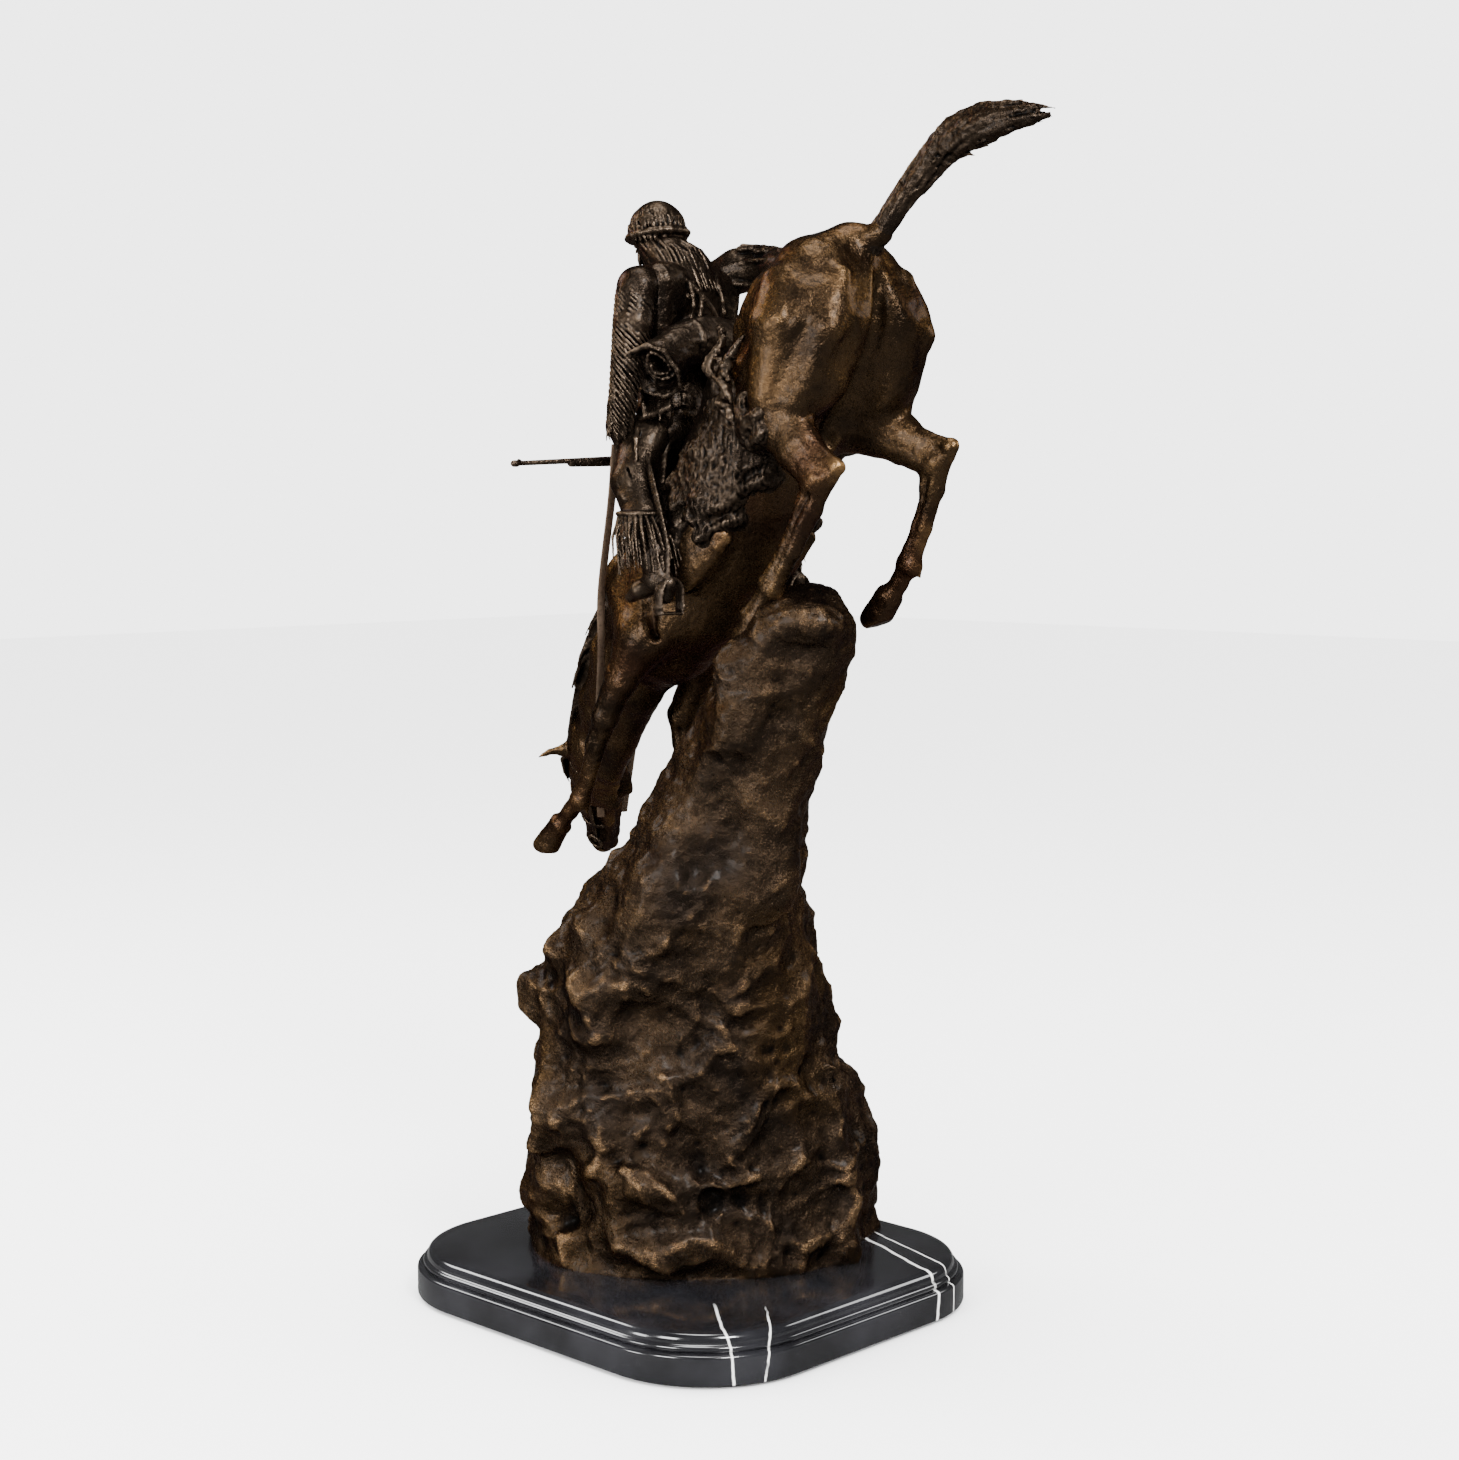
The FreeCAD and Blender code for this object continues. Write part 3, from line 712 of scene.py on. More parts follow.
# Height, reach to +T, to -T, to -W and to +W, where T is (1, 1) and W is (1, -1)
ROCK_LEVELS = np.array([
    (24.0, 99.0, -108.0, -69.0, 96.0),
    (70.0, 100.0, -108.0, -70.0, 98.0),
    (112.0, 97.0, -104.0, -71.0, 98.0),
    (152.0, 94.0, -93.0, -72.0, 97.0),
    (192.0, 93.0, -84.0, -74.0, 96.0),
    (228.0, 81.0, -78.0, -76.0, 96.0),
    (262.0, 61.0, -70.0, -79.0, 93.0),
    (290.0, 36.0, -71.0, -84.0, 62.0),
    (320.0, 20.0, -76.0, -88.0, 34.0),
    (355.0, 4.0, -84.0, -94.0, 10.0),
    (390.0, -16.0, -92.0, -102.0, -10.0),
    (420.0, -28.0, -97.0, -106.0, -28.0),
    (445.0, -36.0, -93.0, -99.0, -38.0),
])


class RockColumn:
    """The main mass of the rock, as one field."""

    blend = 0.0
    cut = False

    def __init__(self):
        self.low = np.array([-150.0, -150.0, 20.0])
        self.high = np.array([150.0, 150.0, 460.0])

    def distance(self, x, y, z):
        level = ROCK_LEVELS[:, 0]
        t_plus, t_minus, w_minus, w_plus = (np.interp(z.ravel(), level, ROCK_LEVELS[:, k])[None, None, :]
                                            for k in range(1, 5))
        t = (x + y) * DIAGONAL
        w = (x - y) * DIAGONAL
        half_t, half_w = (t_plus - t_minus) / 2, (w_plus - w_minus) / 2
        t = (t - (t_plus + t_minus) / 2) / half_t
        w = (w - (w_plus + w_minus) / 2) / half_w
        ratio = (np.abs(t)**2.3 + np.abs(w)**2.3)**(1 / 2.3)
        side = (ratio - 1.0) * np.minimum(half_t, half_w)
        top = z - 448.0 + 0.10 * (x + y + 85.0)
        return -smooth_min(-side, -top, 26.0)


def tw(t, w, z):
    """A place from the rock's own diagonals."""
    return ((t + w) * DIAGONAL, (t - w) * DIAGONAL, z)


def rock_lumps():
    """The column, its foot, and the lumps and scoops that are placed one by one from the lists."""
    made = [RockColumn()]
    buttress = [(-33, -97, 20, 40, 31), (-34, -97, 84, 39, 30), (-32, -92, 120, 30, 22)]
    made += bones(buttress, side=(1, -1, 0), blend=7.0)
    made.append(Bone(tw(-88, -24, 20), tw(-80, -26, 150), (9, 20), (5, 14), blend=10.0))
    lumps = [
        (90, -8, 192, 20, 15, 21), (78, -30, 120, 24, 20, 30), (20, -70, 70, 34, 14, 34),
        (-40, -52, 150, 24, 18, 44), (44, -52, 190, 26, 16, 32), (60, 20, 150, 40, 50, 40),
        (10, -74, 250, 26, 12, 44), (-46, -70, 300, 20, 16, 60), (-30, -88, 380, 22, 16, 40),
        (0, 84, 254, 24, 18, 16), (-60, 70, 150, 30, 26, 50), (40, 80, 180, 34, 24, 40),
        (-68, -104, 424, 20, 12, 12), (62, -40, 236, 12, 12, 10), (76, -20, 222, 10, 10, 8),
    ]
    for t, w, z, across, deep, tall in lumps:
        made.append(lump(tw(t, w, z), (across * 0.8, deep * 0.8, tall * 0.8), blend=16.0,
                         side=(0.7, 0.7, 0)))
    scoops = [
        (-64, -112, 386, 17, 12, 34), (-46, -92, 244, 11, 12, 22), (-33, -84, 190, 14, 10, 16),
        (31, -78, 180, 17, 11, 18), (55, -74, 138, 15, 11, 13), (2, -84, 108, 20, 12, 14),
        (-66, -78, 116, 16, 12, 28), (31, -84, 66, 18, 11, 12), (-40, -86, 70, 20, 12, 14),
        (-10, -92, 300, 16, 12, 24), (10, -90, 214, 12, 10, 14), (80, -42, 76, 14, 10, 24),
        (92, 6, 150, 14, 12, 10), (30, 66, 320, 20, 14, 20), (-80, 64, 220, 22, 14, 34),
        (20, 108, 150, 22, 12, 30), (-40, 112, 90, 20, 12, 24), (-100, 10, 330, 12, 16, 40),
    ]
    for t, w, z, across, deep, tall in scoops:
        made.append(lump(tw(t, w, z), (across, deep, tall), blend=13.0, cut=True, side=(0.7, 0.7, 0)))
    return made


def rock(stuff):
    clay = Clay((-140, -165, 20), (130, 125, 462), 1.92)
    clay.add(rock_lumps())
    skin = Skin(clay)
    skin.place = np.zeros(3)
    p = skin.points
    rugged = np.clip((360.0 - p[:, 2]) / 150.0, 0.55, 1.0)
    warped = p + 11.0 * np.stack([noise(p, 34.0, s) for s in (11, 12, 13)], axis=1)
    broad = np.minimum(pockets(warped * (1.0, 1.0, 1.1), 38.0, 5)[0], 0.9)
    near = np.minimum(pockets(warped + 40.0, 17.0, 9)[0], 0.9)
    ledge = 1.0 - 2.0 * np.abs(noise(warped * (0.45, 0.45, 1.0), 26.0, 17))
    lift = 2.6 * layered(p, 48.0, 3, 21)
    lift += rugged * 11.0 * (broad * broad - 0.42)
    lift += rugged * 5.2 * (near * near - 0.34)
    lift += rugged * 2.4 * np.maximum(ledge, 0.2) + 0.8 * layered(p, 7.0, 2, 31) + 0.35 * noise(p, 3.2, 41)
    lift *= np.clip((p[:, 2] - 26.0) / 12.0, 0.1, 1.0)
    for part in range(3):
        skin.push(lift / 3.0)
    skin.points[:, 2] = np.maximum(skin.points[:, 2], BASE_TOP - 0.3)
    # Wide broad marks: from them the bronze paints shade into the rock's large hollows, besides the dark
    # patina of its crevices.
    skin.hollows(1.2, 3.0, 20)
    make_piece("rock_cliff", skin, stuff["rock"], ["rock_casting"])


# --- the horse --------------------------------------------------------------------

TRUNK = [
    (-141, 0, 620, 13, 15), (-128, 0, 612, 28, 31), (-104, 0, 592, 36, 44), (-78, 0, 554, 37, 44),
    (-56, 0, 510, 40, 42), (-32, 0, 473, 42, 44), (-6, 0, 441, 37, 41), (14, 0, 418, 29, 34),
    (24, 0, 404, 18, 22),
]
NECK = [
    (-2, 0, 452, 24, 40), (32, -2, 421, 21, 39), (66, -8, 387, 16, 30), (98, -22, 353, 13, 25),
    (124, -36, 327, 11, 20),
]
HIND_PLANTED = [
    (-124, 22, 622, 22, 24), (-124, 24, 600, 31, 36), (-118, 30, 568, 24, 33), (-113, 39, 546, 16, 22),
    (-130, 42, 526, 10.5, 15), (-146, 42, 508, 8, 11), (-139, 42, 492, 6.5, 8.5), (-124, 42, 468, 5.5, 7),
    (-109, 42, 447, 6.5, 8), (-101, 42, 436, 5.5, 6.5), (-97, 42, 428, 9, 10), (-92, 42, 416, 10, 12),
]
HIND_RAISED = [
    (-124, 22, 622, 22, 24), (-125, 24, 600, 31, 37), (-120, 28, 568, 24, 33), (-118, 35, 544, 17, 23),
    (-140, 39, 531, 11, 14.5), (-163, 41, 518, 7.5, 10), (-161, 41, 503, 6, 8), (-153, 41, 480, 4.8, 6.2),
    (-142, 42, 458, 5.8, 7.0), (-135, 42, 447, 4.6, 5.4), (-127, 42, 438, 7, 8), (-117, 42, 424, 8.6, 10.5),
]
FORE_STRETCHED = [
    (-8, 22, 434, 13, 23), (5, 33, 412, 12, 17), (22, 37, 386, 9, 11.5), (36, 38, 361, 7.2, 8.6),
    (47, 36, 343, 5.6, 6.6), (58, 32, 322, 4.4, 5.4), (68, 30, 307, 5.4, 6.2), (77, 30, 298, 4.4, 5.0),
    (88, 29, 288, 6.0, 7.0), (102, 28, 272, 6.6, 9.5),
]
FORE_PLANTED = [
    (-8, 22, 434, 13, 23), (7, 33, 410, 13, 17.5), (28, 38, 384, 10.5, 13), (45, 40, 357, 9, 11),
    (46, 41, 339, 6, 7.5), (41, 42, 314, 5, 6.5), (36, 42, 298, 6.5, 7.8), (35, 42, 288, 5, 5.6),
    (38, 42, 276, 8, 9), (42, 42, 264, 9.2, 11),
]


def leg_details(stations, mirror, hock, sole):
    """The joints, tendons and hoof of one leg, from its stations."""
    made = []
    spots = [np.array([s[0], s[1] * mirror, s[2]], float) for s in stations]
    fetlock, pastern, coronet, toe = spots[-4:]
    joint = spots[5] if hock else spots[3]
    down = unit(fetlock - joint)
    back = np.cross(down, SIDEWAYS)
    back = back if back[0] < 0 else -back
    if hock:
        heel = joint + back * 8.0 - down * 7.0
        made.append(Bone(joint, heel, (4.5, 6), (3.0, 3.4), blend=5.0))
        made += lock([heel, heel - down * 6 + back * 0.5, spots[3] + back * 12.0], 2.6, 5.0, blend=4.0)
        for side in (1, -1):
            groove = joint - down * 16 + back * 3.5 + np.array([0, side * 8.5, 0])
            made += lock([groove - down * 10, groove, groove + down * 9], 2.2, 1.4, blend=3.0, cut=True)
    else:
        made.append(lump(joint - back * 2, (6.6, 5, 7), blend=4.0, along=down))
        made.append(lump(joint + back * 6 - down * 1, (3, 3, 4), blend=4.0, along=down))
    for side in (1, -1):
        line = [joint + down * 9, (joint + fetlock) / 2, fetlock - down * 6]
        line = [q + back * 2.2 + np.array([0, side * 6.2, 0]) for q in line]
        made += lock(line, 1.6, 1.3, blend=1.8, cut=True)
    made += lock([joint + down * 8 + back * 6, fetlock + back * 5.5 - down * 4], 2.2, 2.0, blend=2.4)
    made.append(lump(fetlock + back * 4.5, (4.4, 3.8, 5), blend=4.0, along=down))
    made += lock([fetlock + back * 7.5, fetlock + back * 11.0 + down * 4], 2.0, 0.8, blend=2.5)
    made += hoof(pastern, coronet, toe, unit(sole))
    return made


def hoof(pastern, coronet, toe, sole):
    """A band above the wall of the hoof, a pointed toe and a flat sole."""
    made = []
    slope = unit(toe - pastern)
    across, deep = np.array([0, 1.0, 0]), np.cross(slope, SIDEWAYS)
    for i in range(10):
        a, b = (math.radians(36 * (i + k)) for k in (0, 1))
        ring = [coronet - slope * 2 + across * 6.4 * math.cos(q) + deep * 7.2 * math.sin(q) for q in (a, b)]
        made.append(Bone(ring[0], ring[1], (1.0, 1.0), (1.0, 1.0), blend=2.0))
    front = deep if deep.dot(sole) < 0 else -deep
    made.append(Bone(coronet + front * 2, toe + front * 5 + slope * 3, (5.0, 4.0), (6.0, 4.0), blend=3.0))
    made.append(Slab(toe + sole * 29.0 + front * 2, (sole, across, np.cross(sole, across)), (24, 20, 26)))
    return made


def body_details():
    made = []
    for m in (LEFT, RIGHT):
        made.append(lump((-106, 17 * m, 618), (17, 20, 30), blend=14.0, along=(0.8, 0, -0.6)))
        made.append(lump((-76, 24 * m, 598), (7, 8, 11), blend=10.0, along=(0.7, 0, -0.7)))
        made.append(Bone((40, 16 * m, 455), (8, 33 * m, 414), (9, 20), (10, 17), blend=10.0))
        made.append(lump((24, 13 * m, 402), (12, 12, 17), blend=8.0))
        made.append(Bone((-60, 38 * m, 482), (-30, 41 * m, 452), (5, 16), (5, 14), blend=10.0))
        made += lock([(-22, 41 * m, 474), (-6, 41 * m, 440), (-8, 36 * m, 414)], 2.4, 1.8, blend=8.0,
                     cut=True)
        for i in range(5):
            x = -58 + 9.5 * i
            rib = [(x + 8, 39.5 * m, 520 - 8 * i), (x + 2, 43.5 * m, 497 - 8 * i),
                   (x - 6, 39 * m, 470 - 8 * i)]
            made += lock(rib, 1.2, 1.0, blend=5.0)
    made.append(lump((-126, -1, 640), (15, 13, 18), blend=14.0, along=(0.9, 0, -0.4)))
    made.append(Bone((-132, -1, 640), (-153, -3, 648), (10, 11), (7, 7.5), blend=7.0))
    made += lock([(16, 0, 402), (-10, 0, 404)], 2.5, 2.5, blend=5.0, cut=True)
    return made


def cleft():
    """The deep fold that runs from under the tail down between the thighs."""
    outer = [(-166, -1, 626), (-168, 0, 604), (-163, 0, 582), (-148, 0, 556), (-130, 0, 536)]
    inner = [(-157, -1, 628), (-154, 0, 604), (-149, 0, 580), (-134, 0, 552), (-116, 0, 530)]
    return (lock(curve_through(outer, 12), 9.0, 12.0, blend=6.0, cut=True)
            + lock(curve_through(inner, 12), 3.5, 6.5, blend=4.0, cut=True))


def haunch_details(m):
    """The long muscles that run down the back of the thigh."""
    made = []
    made.append(Bone((-146, 28 * m, 622), (-148, 40 * m, 592), (7, 10), (8, 11), blend=6.0))
    made.append(Bone((-148, 40 * m, 592), (-132, 47 * m, 552), (8, 11), (5, 7), blend=6.0))
    made.append(Bone((-116, 44 * m, 622), (-122, 53 * m, 596), (7, 12), (8, 15), blend=7.0))
    made.append(Bone((-122, 53 * m, 596), (-112, 53 * m, 556), (8, 15), (6, 9), blend=7.0))
    made.append(lump((-94, 38 * m, 564), (7, 13, 17), blend=9.0, along=(0.2, 0, 1)))
    made += lock([(-136, 57 * m, 612), (-138, 60 * m, 584), (-126, 58 * m, 556)], 2.2, 1.6, blend=4.0,
                 cut=True)
    made += lock([(-104, 52 * m, 618), (-107, 60 * m, 592), (-101, 59 * m, 562)], 2.0, 1.4, blend=4.5,
                 cut=True)
    return made


def neck_details():
    made = []
    made += lock([(58, 15, 400), (86, 4, 368), (114, -16, 336)], 2.0, 1.6, blend=6.0, cut=True)
    made += lock([(58, -22, 396), (86, -34, 362), (108, -48, 332)], 2.0, 1.6, blend=6.0, cut=True)
    made.append(Bone((10, 4, 412), (104, -30, 318), (8, 8), (8, 9), blend=8.0))
    made.append(Bone((44, 0, 460), (142, -34, 336), (5, 6), (4, 5), blend=7.0))
    return made


# The head's own place: along from the poll to the mouth, side to its left, up from its brow
POLL = np.array([127.0, -34.5, 325.0])
HEAD_ALONG = unit((49.0, -54.0, -67.0))
HEAD_ROLL = math.radians(58.0)
LEVEL_SIDE = unit((54.0, 49.0, 0.0))
HEAD_SIDE = LEVEL_SIDE * math.cos(HEAD_ROLL) + np.cross(LEVEL_SIDE, HEAD_ALONG) * math.sin(HEAD_ROLL)
HEAD_UP = -np.cross(HEAD_SIDE, HEAD_ALONG)


def on_head(along, side, up):
    return POLL + HEAD_ALONG * along + HEAD_SIDE * side + HEAD_UP * up


def head_bone(a, b, size_a, size_b, blend=3.0, cut=False):
    return Bone(on_head(*a), on_head(*b), size_a, size_b, HEAD_SIDE, blend, cut)


def horse_head():
    made = [
        head_bone((-6, 0, -3), (14, 0, -1), (13, 17), (15, 16), 6.0),
        head_bone((14, 0, 0), (34, 0, 1), (15, 14.5), (14, 13.5), 6.0),
        head_bone((34, 0, 2), (60, 0, 2), (12.5, 11.5), (9.5, 10), 6.0),
        head_bone((60, 0, 2), (88, 0, -1), (9.0, 9.5), (8.8, 9), 6.0),
        head_bone((88, 0, -1), (98, 0, -2), (9.2, 9), (8.2, 8.4), 4.0),
        head_bone((84, 0, -9), (93, 0, -10), (5.6, 5), (5, 4.4), 3.0),
    ]
    for m in (LEFT, RIGHT):
        made.append(head_bone((10, 8 * m, -9), (32, 7.5 * m, -13), (6.5, 15), (6, 14), 5.0))
        made.append(head_bone((36, 4.6 * m, -14), (82, 3.4 * m, -10), (4.0, 6), (3.6, 4.6), 4.0))
        made.append(head_bone((30, 13.4 * m, 3), (56, 10.2 * m, -1), (1.9, 2.2), (1.2, 1.6), 2.5))
        made.append(head_bone((24, 11.8 * m, 9), (33, 12.8 * m, 9.4), (2.2, 2.2), (1.6, 1.6), 2.5))
        made.append(head_bone((27.5, 13.4 * m, 5.4), (31, 13.4 * m, 5.2), (3.6, 3.2), (3.4, 3.0), 1.0,
                              True))
        made.append(head_bone((27.8, 11.9 * m, 5.4), (30.6, 12.0 * m, 5.2), (3.2, 2.7), (3.0, 2.5), 0.3))
        made.append(head_bone((92, 7.6 * m, 4.5), (96, 6.6 * m, 2.0), (2.3, 2.6), (1.9, 2.0), 1.6, True))
        made.append(head_bone((88, 7.4 * m, 5.6), (94, 9.0 * m, 1.2), (1.4, 1.4), (1.1, 1.1), 1.4))
        made.append(head_bone((82, 9.6 * m, -5.4), (100, 5.2 * m, -5.6), (0.9, 0.9), (1.0, 1.0), 1.2, True))
        made.append(head_bone((42, 10.8 * m, -6), (68, 9.2 * m, -5), (1.7, 2.4), (1.3, 1.8), 4.0, True))
        root = on_head(2, 4, 12)
        ear = [root, root + (5, 5, 2), root + (11, 11, 1.5), root + (17, 17, -2)]
        if m < 0:
            ear = [on_head(1, 8 * m, 8), on_head(-2, 13 * m, 16), on_head(-3, 17 * m, 25),
                   on_head(0, 19 * m, 31)]
        made += [Bone(ear[0], ear[1], (3.8, 3.8), (4.8, 3.0), HEAD_ALONG, 1.5),
                 Bone(ear[1], ear[2], (4.8, 3.0), (3.4, 2.0), HEAD_ALONG, 1.5),
                 Bone(ear[2], ear[3], (3.4, 2.0), (0.9, 0.9), HEAD_ALONG, 1.0)]
        dip = HEAD_ALONG * 2.6
        made.append(Bone(ear[0] + dip + (ear[1] - ear[0]) * 0.5, ear[2] + dip, (1.8, 1.6), (1.2, 1.2),
                         HEAD_ALONG, 1.0, True))
    return made


HORSE_BLEND = 12.0


def horse_parts():
    parts = {
        "horse_body": bones(TRUNK, blend=6.0) + body_details() + cleft(),
        "horse_neck": bones(NECK, blend=6.0) + neck_details(),
        "horse_head": horse_head(),
        "hind_leg_left": bones(HIND_PLANTED, blend=3.0) + haunch_details(LEFT)
        + leg_details(HIND_PLANTED, LEFT, True, (0.2, 0, -1)) + cleft(),
        "hind_leg_right": bones(HIND_RAISED, blend=3.0, mirror=RIGHT) + haunch_details(RIGHT)
        + leg_details(HIND_RAISED, RIGHT, True, (-0.35, 0, -0.94)) + cleft(),
        "foreleg_left": bones(FORE_STRETCHED, blend=3.0)
        + leg_details(FORE_STRETCHED, LEFT, False, (0.0, 0, -1)),
        "foreleg_right": bones(FORE_PLANTED, blend=3.0, mirror=RIGHT)
        + leg_details(FORE_PLANTED, RIGHT, False, (0, 0, -1)),
    }
    return parts


def overlaps(a, b):
    return bool((a[0] <= b[1]).all() and (b[0] <= a[1]).all())


def joined_skins(parts, voxel, blend):
    """Skins of parts that flow into each other: past the seam each dives under its neighbour."""
    sink, overlap = 0.10, 7.0
    reaches = {name: reach_of(pieces, blend) for name, pieces in parts.items()}
    skins = {}
    for name, pieces in parts.items():
        own = Clay(*reaches[name], voxel).add([p for p in pieces if not p.cut])
        whole = own.field.copy()
        nearest = np.full_like(whole, FAR)
        cuts = [p for p in pieces if p.cut]
        for other, other_pieces in parts.items():
            if other == name or not overlaps(reaches[name], reaches[other]):
                continue
            twin = own.like().add([p for p in other_pieces if not p.cut])
            nearest = np.minimum(nearest, twin.field)
            whole = smooth_min(whole, twin.field, blend)
            cuts += [p for p in other_pieces if p.cut]
        seam = (own.field - nearest) * 0.5
        own.field = whole
        own.add(cuts)
        past = np.clip(seam, 0.0, 20.0)
        own.field = np.maximum(own.field + sink * past * past, seam - overlap)
        skins[name] = Skin(own)
        skins[name].place = FIGURE
    return skins


def modelled(skin, amount=0.55, seed=3):
    """The slight unevenness that a thumb and a rasp leave."""
    p = skin.points
    skin.push(amount * layered(p, 15.0, 3, seed) + 0.35 * amount * layered(p, 4.0, 2, seed + 7))


def horse(stuff):
    for name, skin in joined_skins(horse_parts(), 1.22, HORSE_BLEND).items():
        skin.relax(0.5, 3)
        modelled(skin)
        make_piece(name + "_cast", skin, stuff["horse"], [name])


# --- hair -------------------------------------------------------------------------

TAIL = [
    (-140, -1, 634), (-152, -3, 648), (-168, -5, 667), (-184, -5, 682), (-202, -5, 695),
    (-224, -5, 702), (-248, -5, 704), (-275, -5, 703),
]
TAIL_HALF = [6, 6.5, 7.5, 9.5, 12, 12.5, 9, 2.5]


def horse_tail(stuff):
    rng = np.random.default_rng(4)
    line = curve_through(TAIL, 60)
    half = np.interp(np.linspace(0, 1, 60), np.linspace(0, 1, len(TAIL)), TAIL_HALF)
    made = bones([(*p, 0.6 * h, 0.8 * h) for p, h in zip(line[::6], half[::6])], blend=2.0)
    for i in range(120):
        start = rng.uniform(0.0, 0.74)
        end = min(start + rng.uniform(0.20, 0.40), 0.985)
        turn = rng.uniform(0, 2 * math.pi)
        steps = np.linspace(start, end, 6)
        droop = max(0.0, -math.sin(turn)) * rng.uniform(0.2, 1.0)
        strand = []
        for k, s in enumerate(steps):
            i0 = min(int(s * 59), 58)
            along = unit(line[i0 + 1] - line[i0])
            up = np.cross((0, 1.0, 0), along)
            up = up if up[2] > 0 else -up
            size = half[i0] * (0.84 + 0.1 * (k == 5))
            swirl = turn + 0.9 * (s - start) * 3
            place = line[i0] + np.array([0, 0.75, 0]) * size * math.cos(swirl) + up * size * math.sin(swirl)
            place = place + np.array([-0.3, 0, -1.0]) * droop * max(0, k - 3) * 2.0 * (end < 0.9)
            strand.append(place)
        made += lock(strand, rng.uniform(1.2, 2.3), 0.5, blend=0.8)
    skin = sculpt(made, 0.85)
    p = skin.points
    skin.push(0.5 * layered(p, 6.0, 3, 13))
    make_piece("horse_tail_cast", skin, stuff["hair"], ["horse_tail"])


CREST = [(40, -1, 468), (62, -3, 446), (90, -9, 410), (116, -20, 374), (134, -33, 346), (142, -42, 334)]


def horse_mane(stuff):
    rng = np.random.default_rng(8)
    line = curve_through(CREST, 50)
    out = unit((0.72, 0.0, 0.69))
    made = bones([(*(p + out * 2.0), 4.0, 7.0) for p in line[::5]], blend=3.0)
    for i in range(150):
        k = int(rng.uniform(0, 47))
        along = unit(line[min(k + 3, 49)] - line[k])
        side = rng.uniform(-1.0, 1.0)
        lift = rng.uniform(3.0, 9.0) * (1.15 - abs(side))
        run = rng.uniform(14.0, 30.0)
        start = line[k] + np.array([0, side * 4.0, 0]) + out * 2
        strand = [start, start + out * lift * 0.8 + along * run * 0.25 + np.array([0, side * 3, 0]),
                  start + out * lift * 0.8 + along * run * 0.6 + np.array([0, side * 5, 0]),
                  start + out * lift * (0.5 + rng.uniform(-0.3, 0.4)) + along * run
                  + np.array([0, side * 6, 0])]
        made += lock(strand, rng.uniform(1.3, 2.2), 0.5, blend=0.7)
    for i in range(16):
        side = rng.uniform(-4, 9)
        strand = [on_head(-2, side * 0.6, 14), on_head(8, side, 19), on_head(19, side * 1.2, 17),
                  on_head(30, side * 1.1, 14.5)]
        made += lock(strand, 1.9, 0.6, blend=0.7)
    skin = sculpt(made, 0.85)
    make_piece("horse_mane_cast", skin, stuff["hair"], ["horse_mane"])


# --- the saddle and what is tied to it --------------------------------------------

DOWN_SLOPE = unit((0.643, 0.0, -0.766))
OFF_BACK = unit((0.766, 0.0, 0.643))


def on_back(along, side, off):
    """A place on the horse's back: along the slope from the loins, to the side, off the spine."""
    return np.array([-56.0, 0.0, 510.0]) + DOWN_SLOPE * along + np.array([0.0, side, 0.0]) + OFF_BACK * off


class Slab:
    """A block with square faces, to trim clay with."""

    def __init__(self, centre, axes, half, blend=1.0, cut=True):
        self.centre = np.asarray(centre, float)
        self.axes = [unit(a) for a in axes]
        self.half = half
        self.blend = blend
        self.cut = cut
        reach = float(np.linalg.norm(half)) + 6.0
        self.low = self.centre - reach
        self.high = self.centre + reach

    def distance(self, x, y, z):
        x, y, z = x - self.centre[0], y - self.centre[1], z - self.centre[2]
        far = -FAR
        for axis, half in zip(self.axes, self.half):
            far = np.maximum(far, np.abs(x * axis[0] + y * axis[1] + z * axis[2]) - half)
        return far


def zone(owner, centre, axes, half, soft, ragged):
    """How far into a block each place is, from 0 at its edge to 1, with a ragged edge."""
    x, y, z = (owner.low[k] + owner.voxel * np.arange(owner.count[k]) for k in range(3))
    slab = Slab(centre, axes, half)
    inside = -slab.distance(x[:, None, None], y[None, :, None], z[None, None, :])
    wave = np.sin(x[:, None, None] * 0.33 + 1.0) + np.sin(z[None, None, :] * 0.41 + x[:, None, None] * 0.19)
    part = np.clip((inside + ragged * wave) / soft, 0.0, 1.0)
    return part * part * (3.0 - 2.0 * part)


BACK_AXES = (DOWN_SLOPE, (0, 1, 0), OFF_BACK)


def sheet_over(grow, thick, centre, half, voxel, extra=(), soft=9.0, ragged=1.5):
    """Cast cloth lying a little off the horse's barrel, that thins out to its edge."""
    parts = horse_parts()
    solid = parts["horse_body"] + parts["hind_leg_left"][:14] + parts["hind_leg_right"][:14]
    reach = np.array([75.0, 75.0, 75.0])
    clay = Clay(np.asarray(centre) - reach, np.asarray(centre) + reach, voxel)
    clay.add([p for p in solid if not p.cut])
    inner = clay.field.copy()
    part = zone(clay, centre, BACK_AXES, half, soft, ragged)
    clay.field = np.maximum(inner + 2.0 - (grow + thick + 2.0) * part, -(inner + 3.0))
    clay.field = np.maximum(clay.field, np.where(part > 0.001, -FAR, FAR))
    clay.add(extra)
    return clay


def saddle_blanket(stuff):
    clay = sheet_over(0.4, 2.8, on_back(2, 0, 33), (47, 52, 47), 1.0, soft=4.0, ragged=0.8)
    skin = Skin(clay)
    skin.place = FIGURE
    p = skin.points
    skin.push(0.4 * noise(p, 2.6, 2) + 0.5 * noise(p, 7.0, 3))
    make_piece("saddle_blanket_cast", skin, stuff["tack"], ["saddle_blanket"])


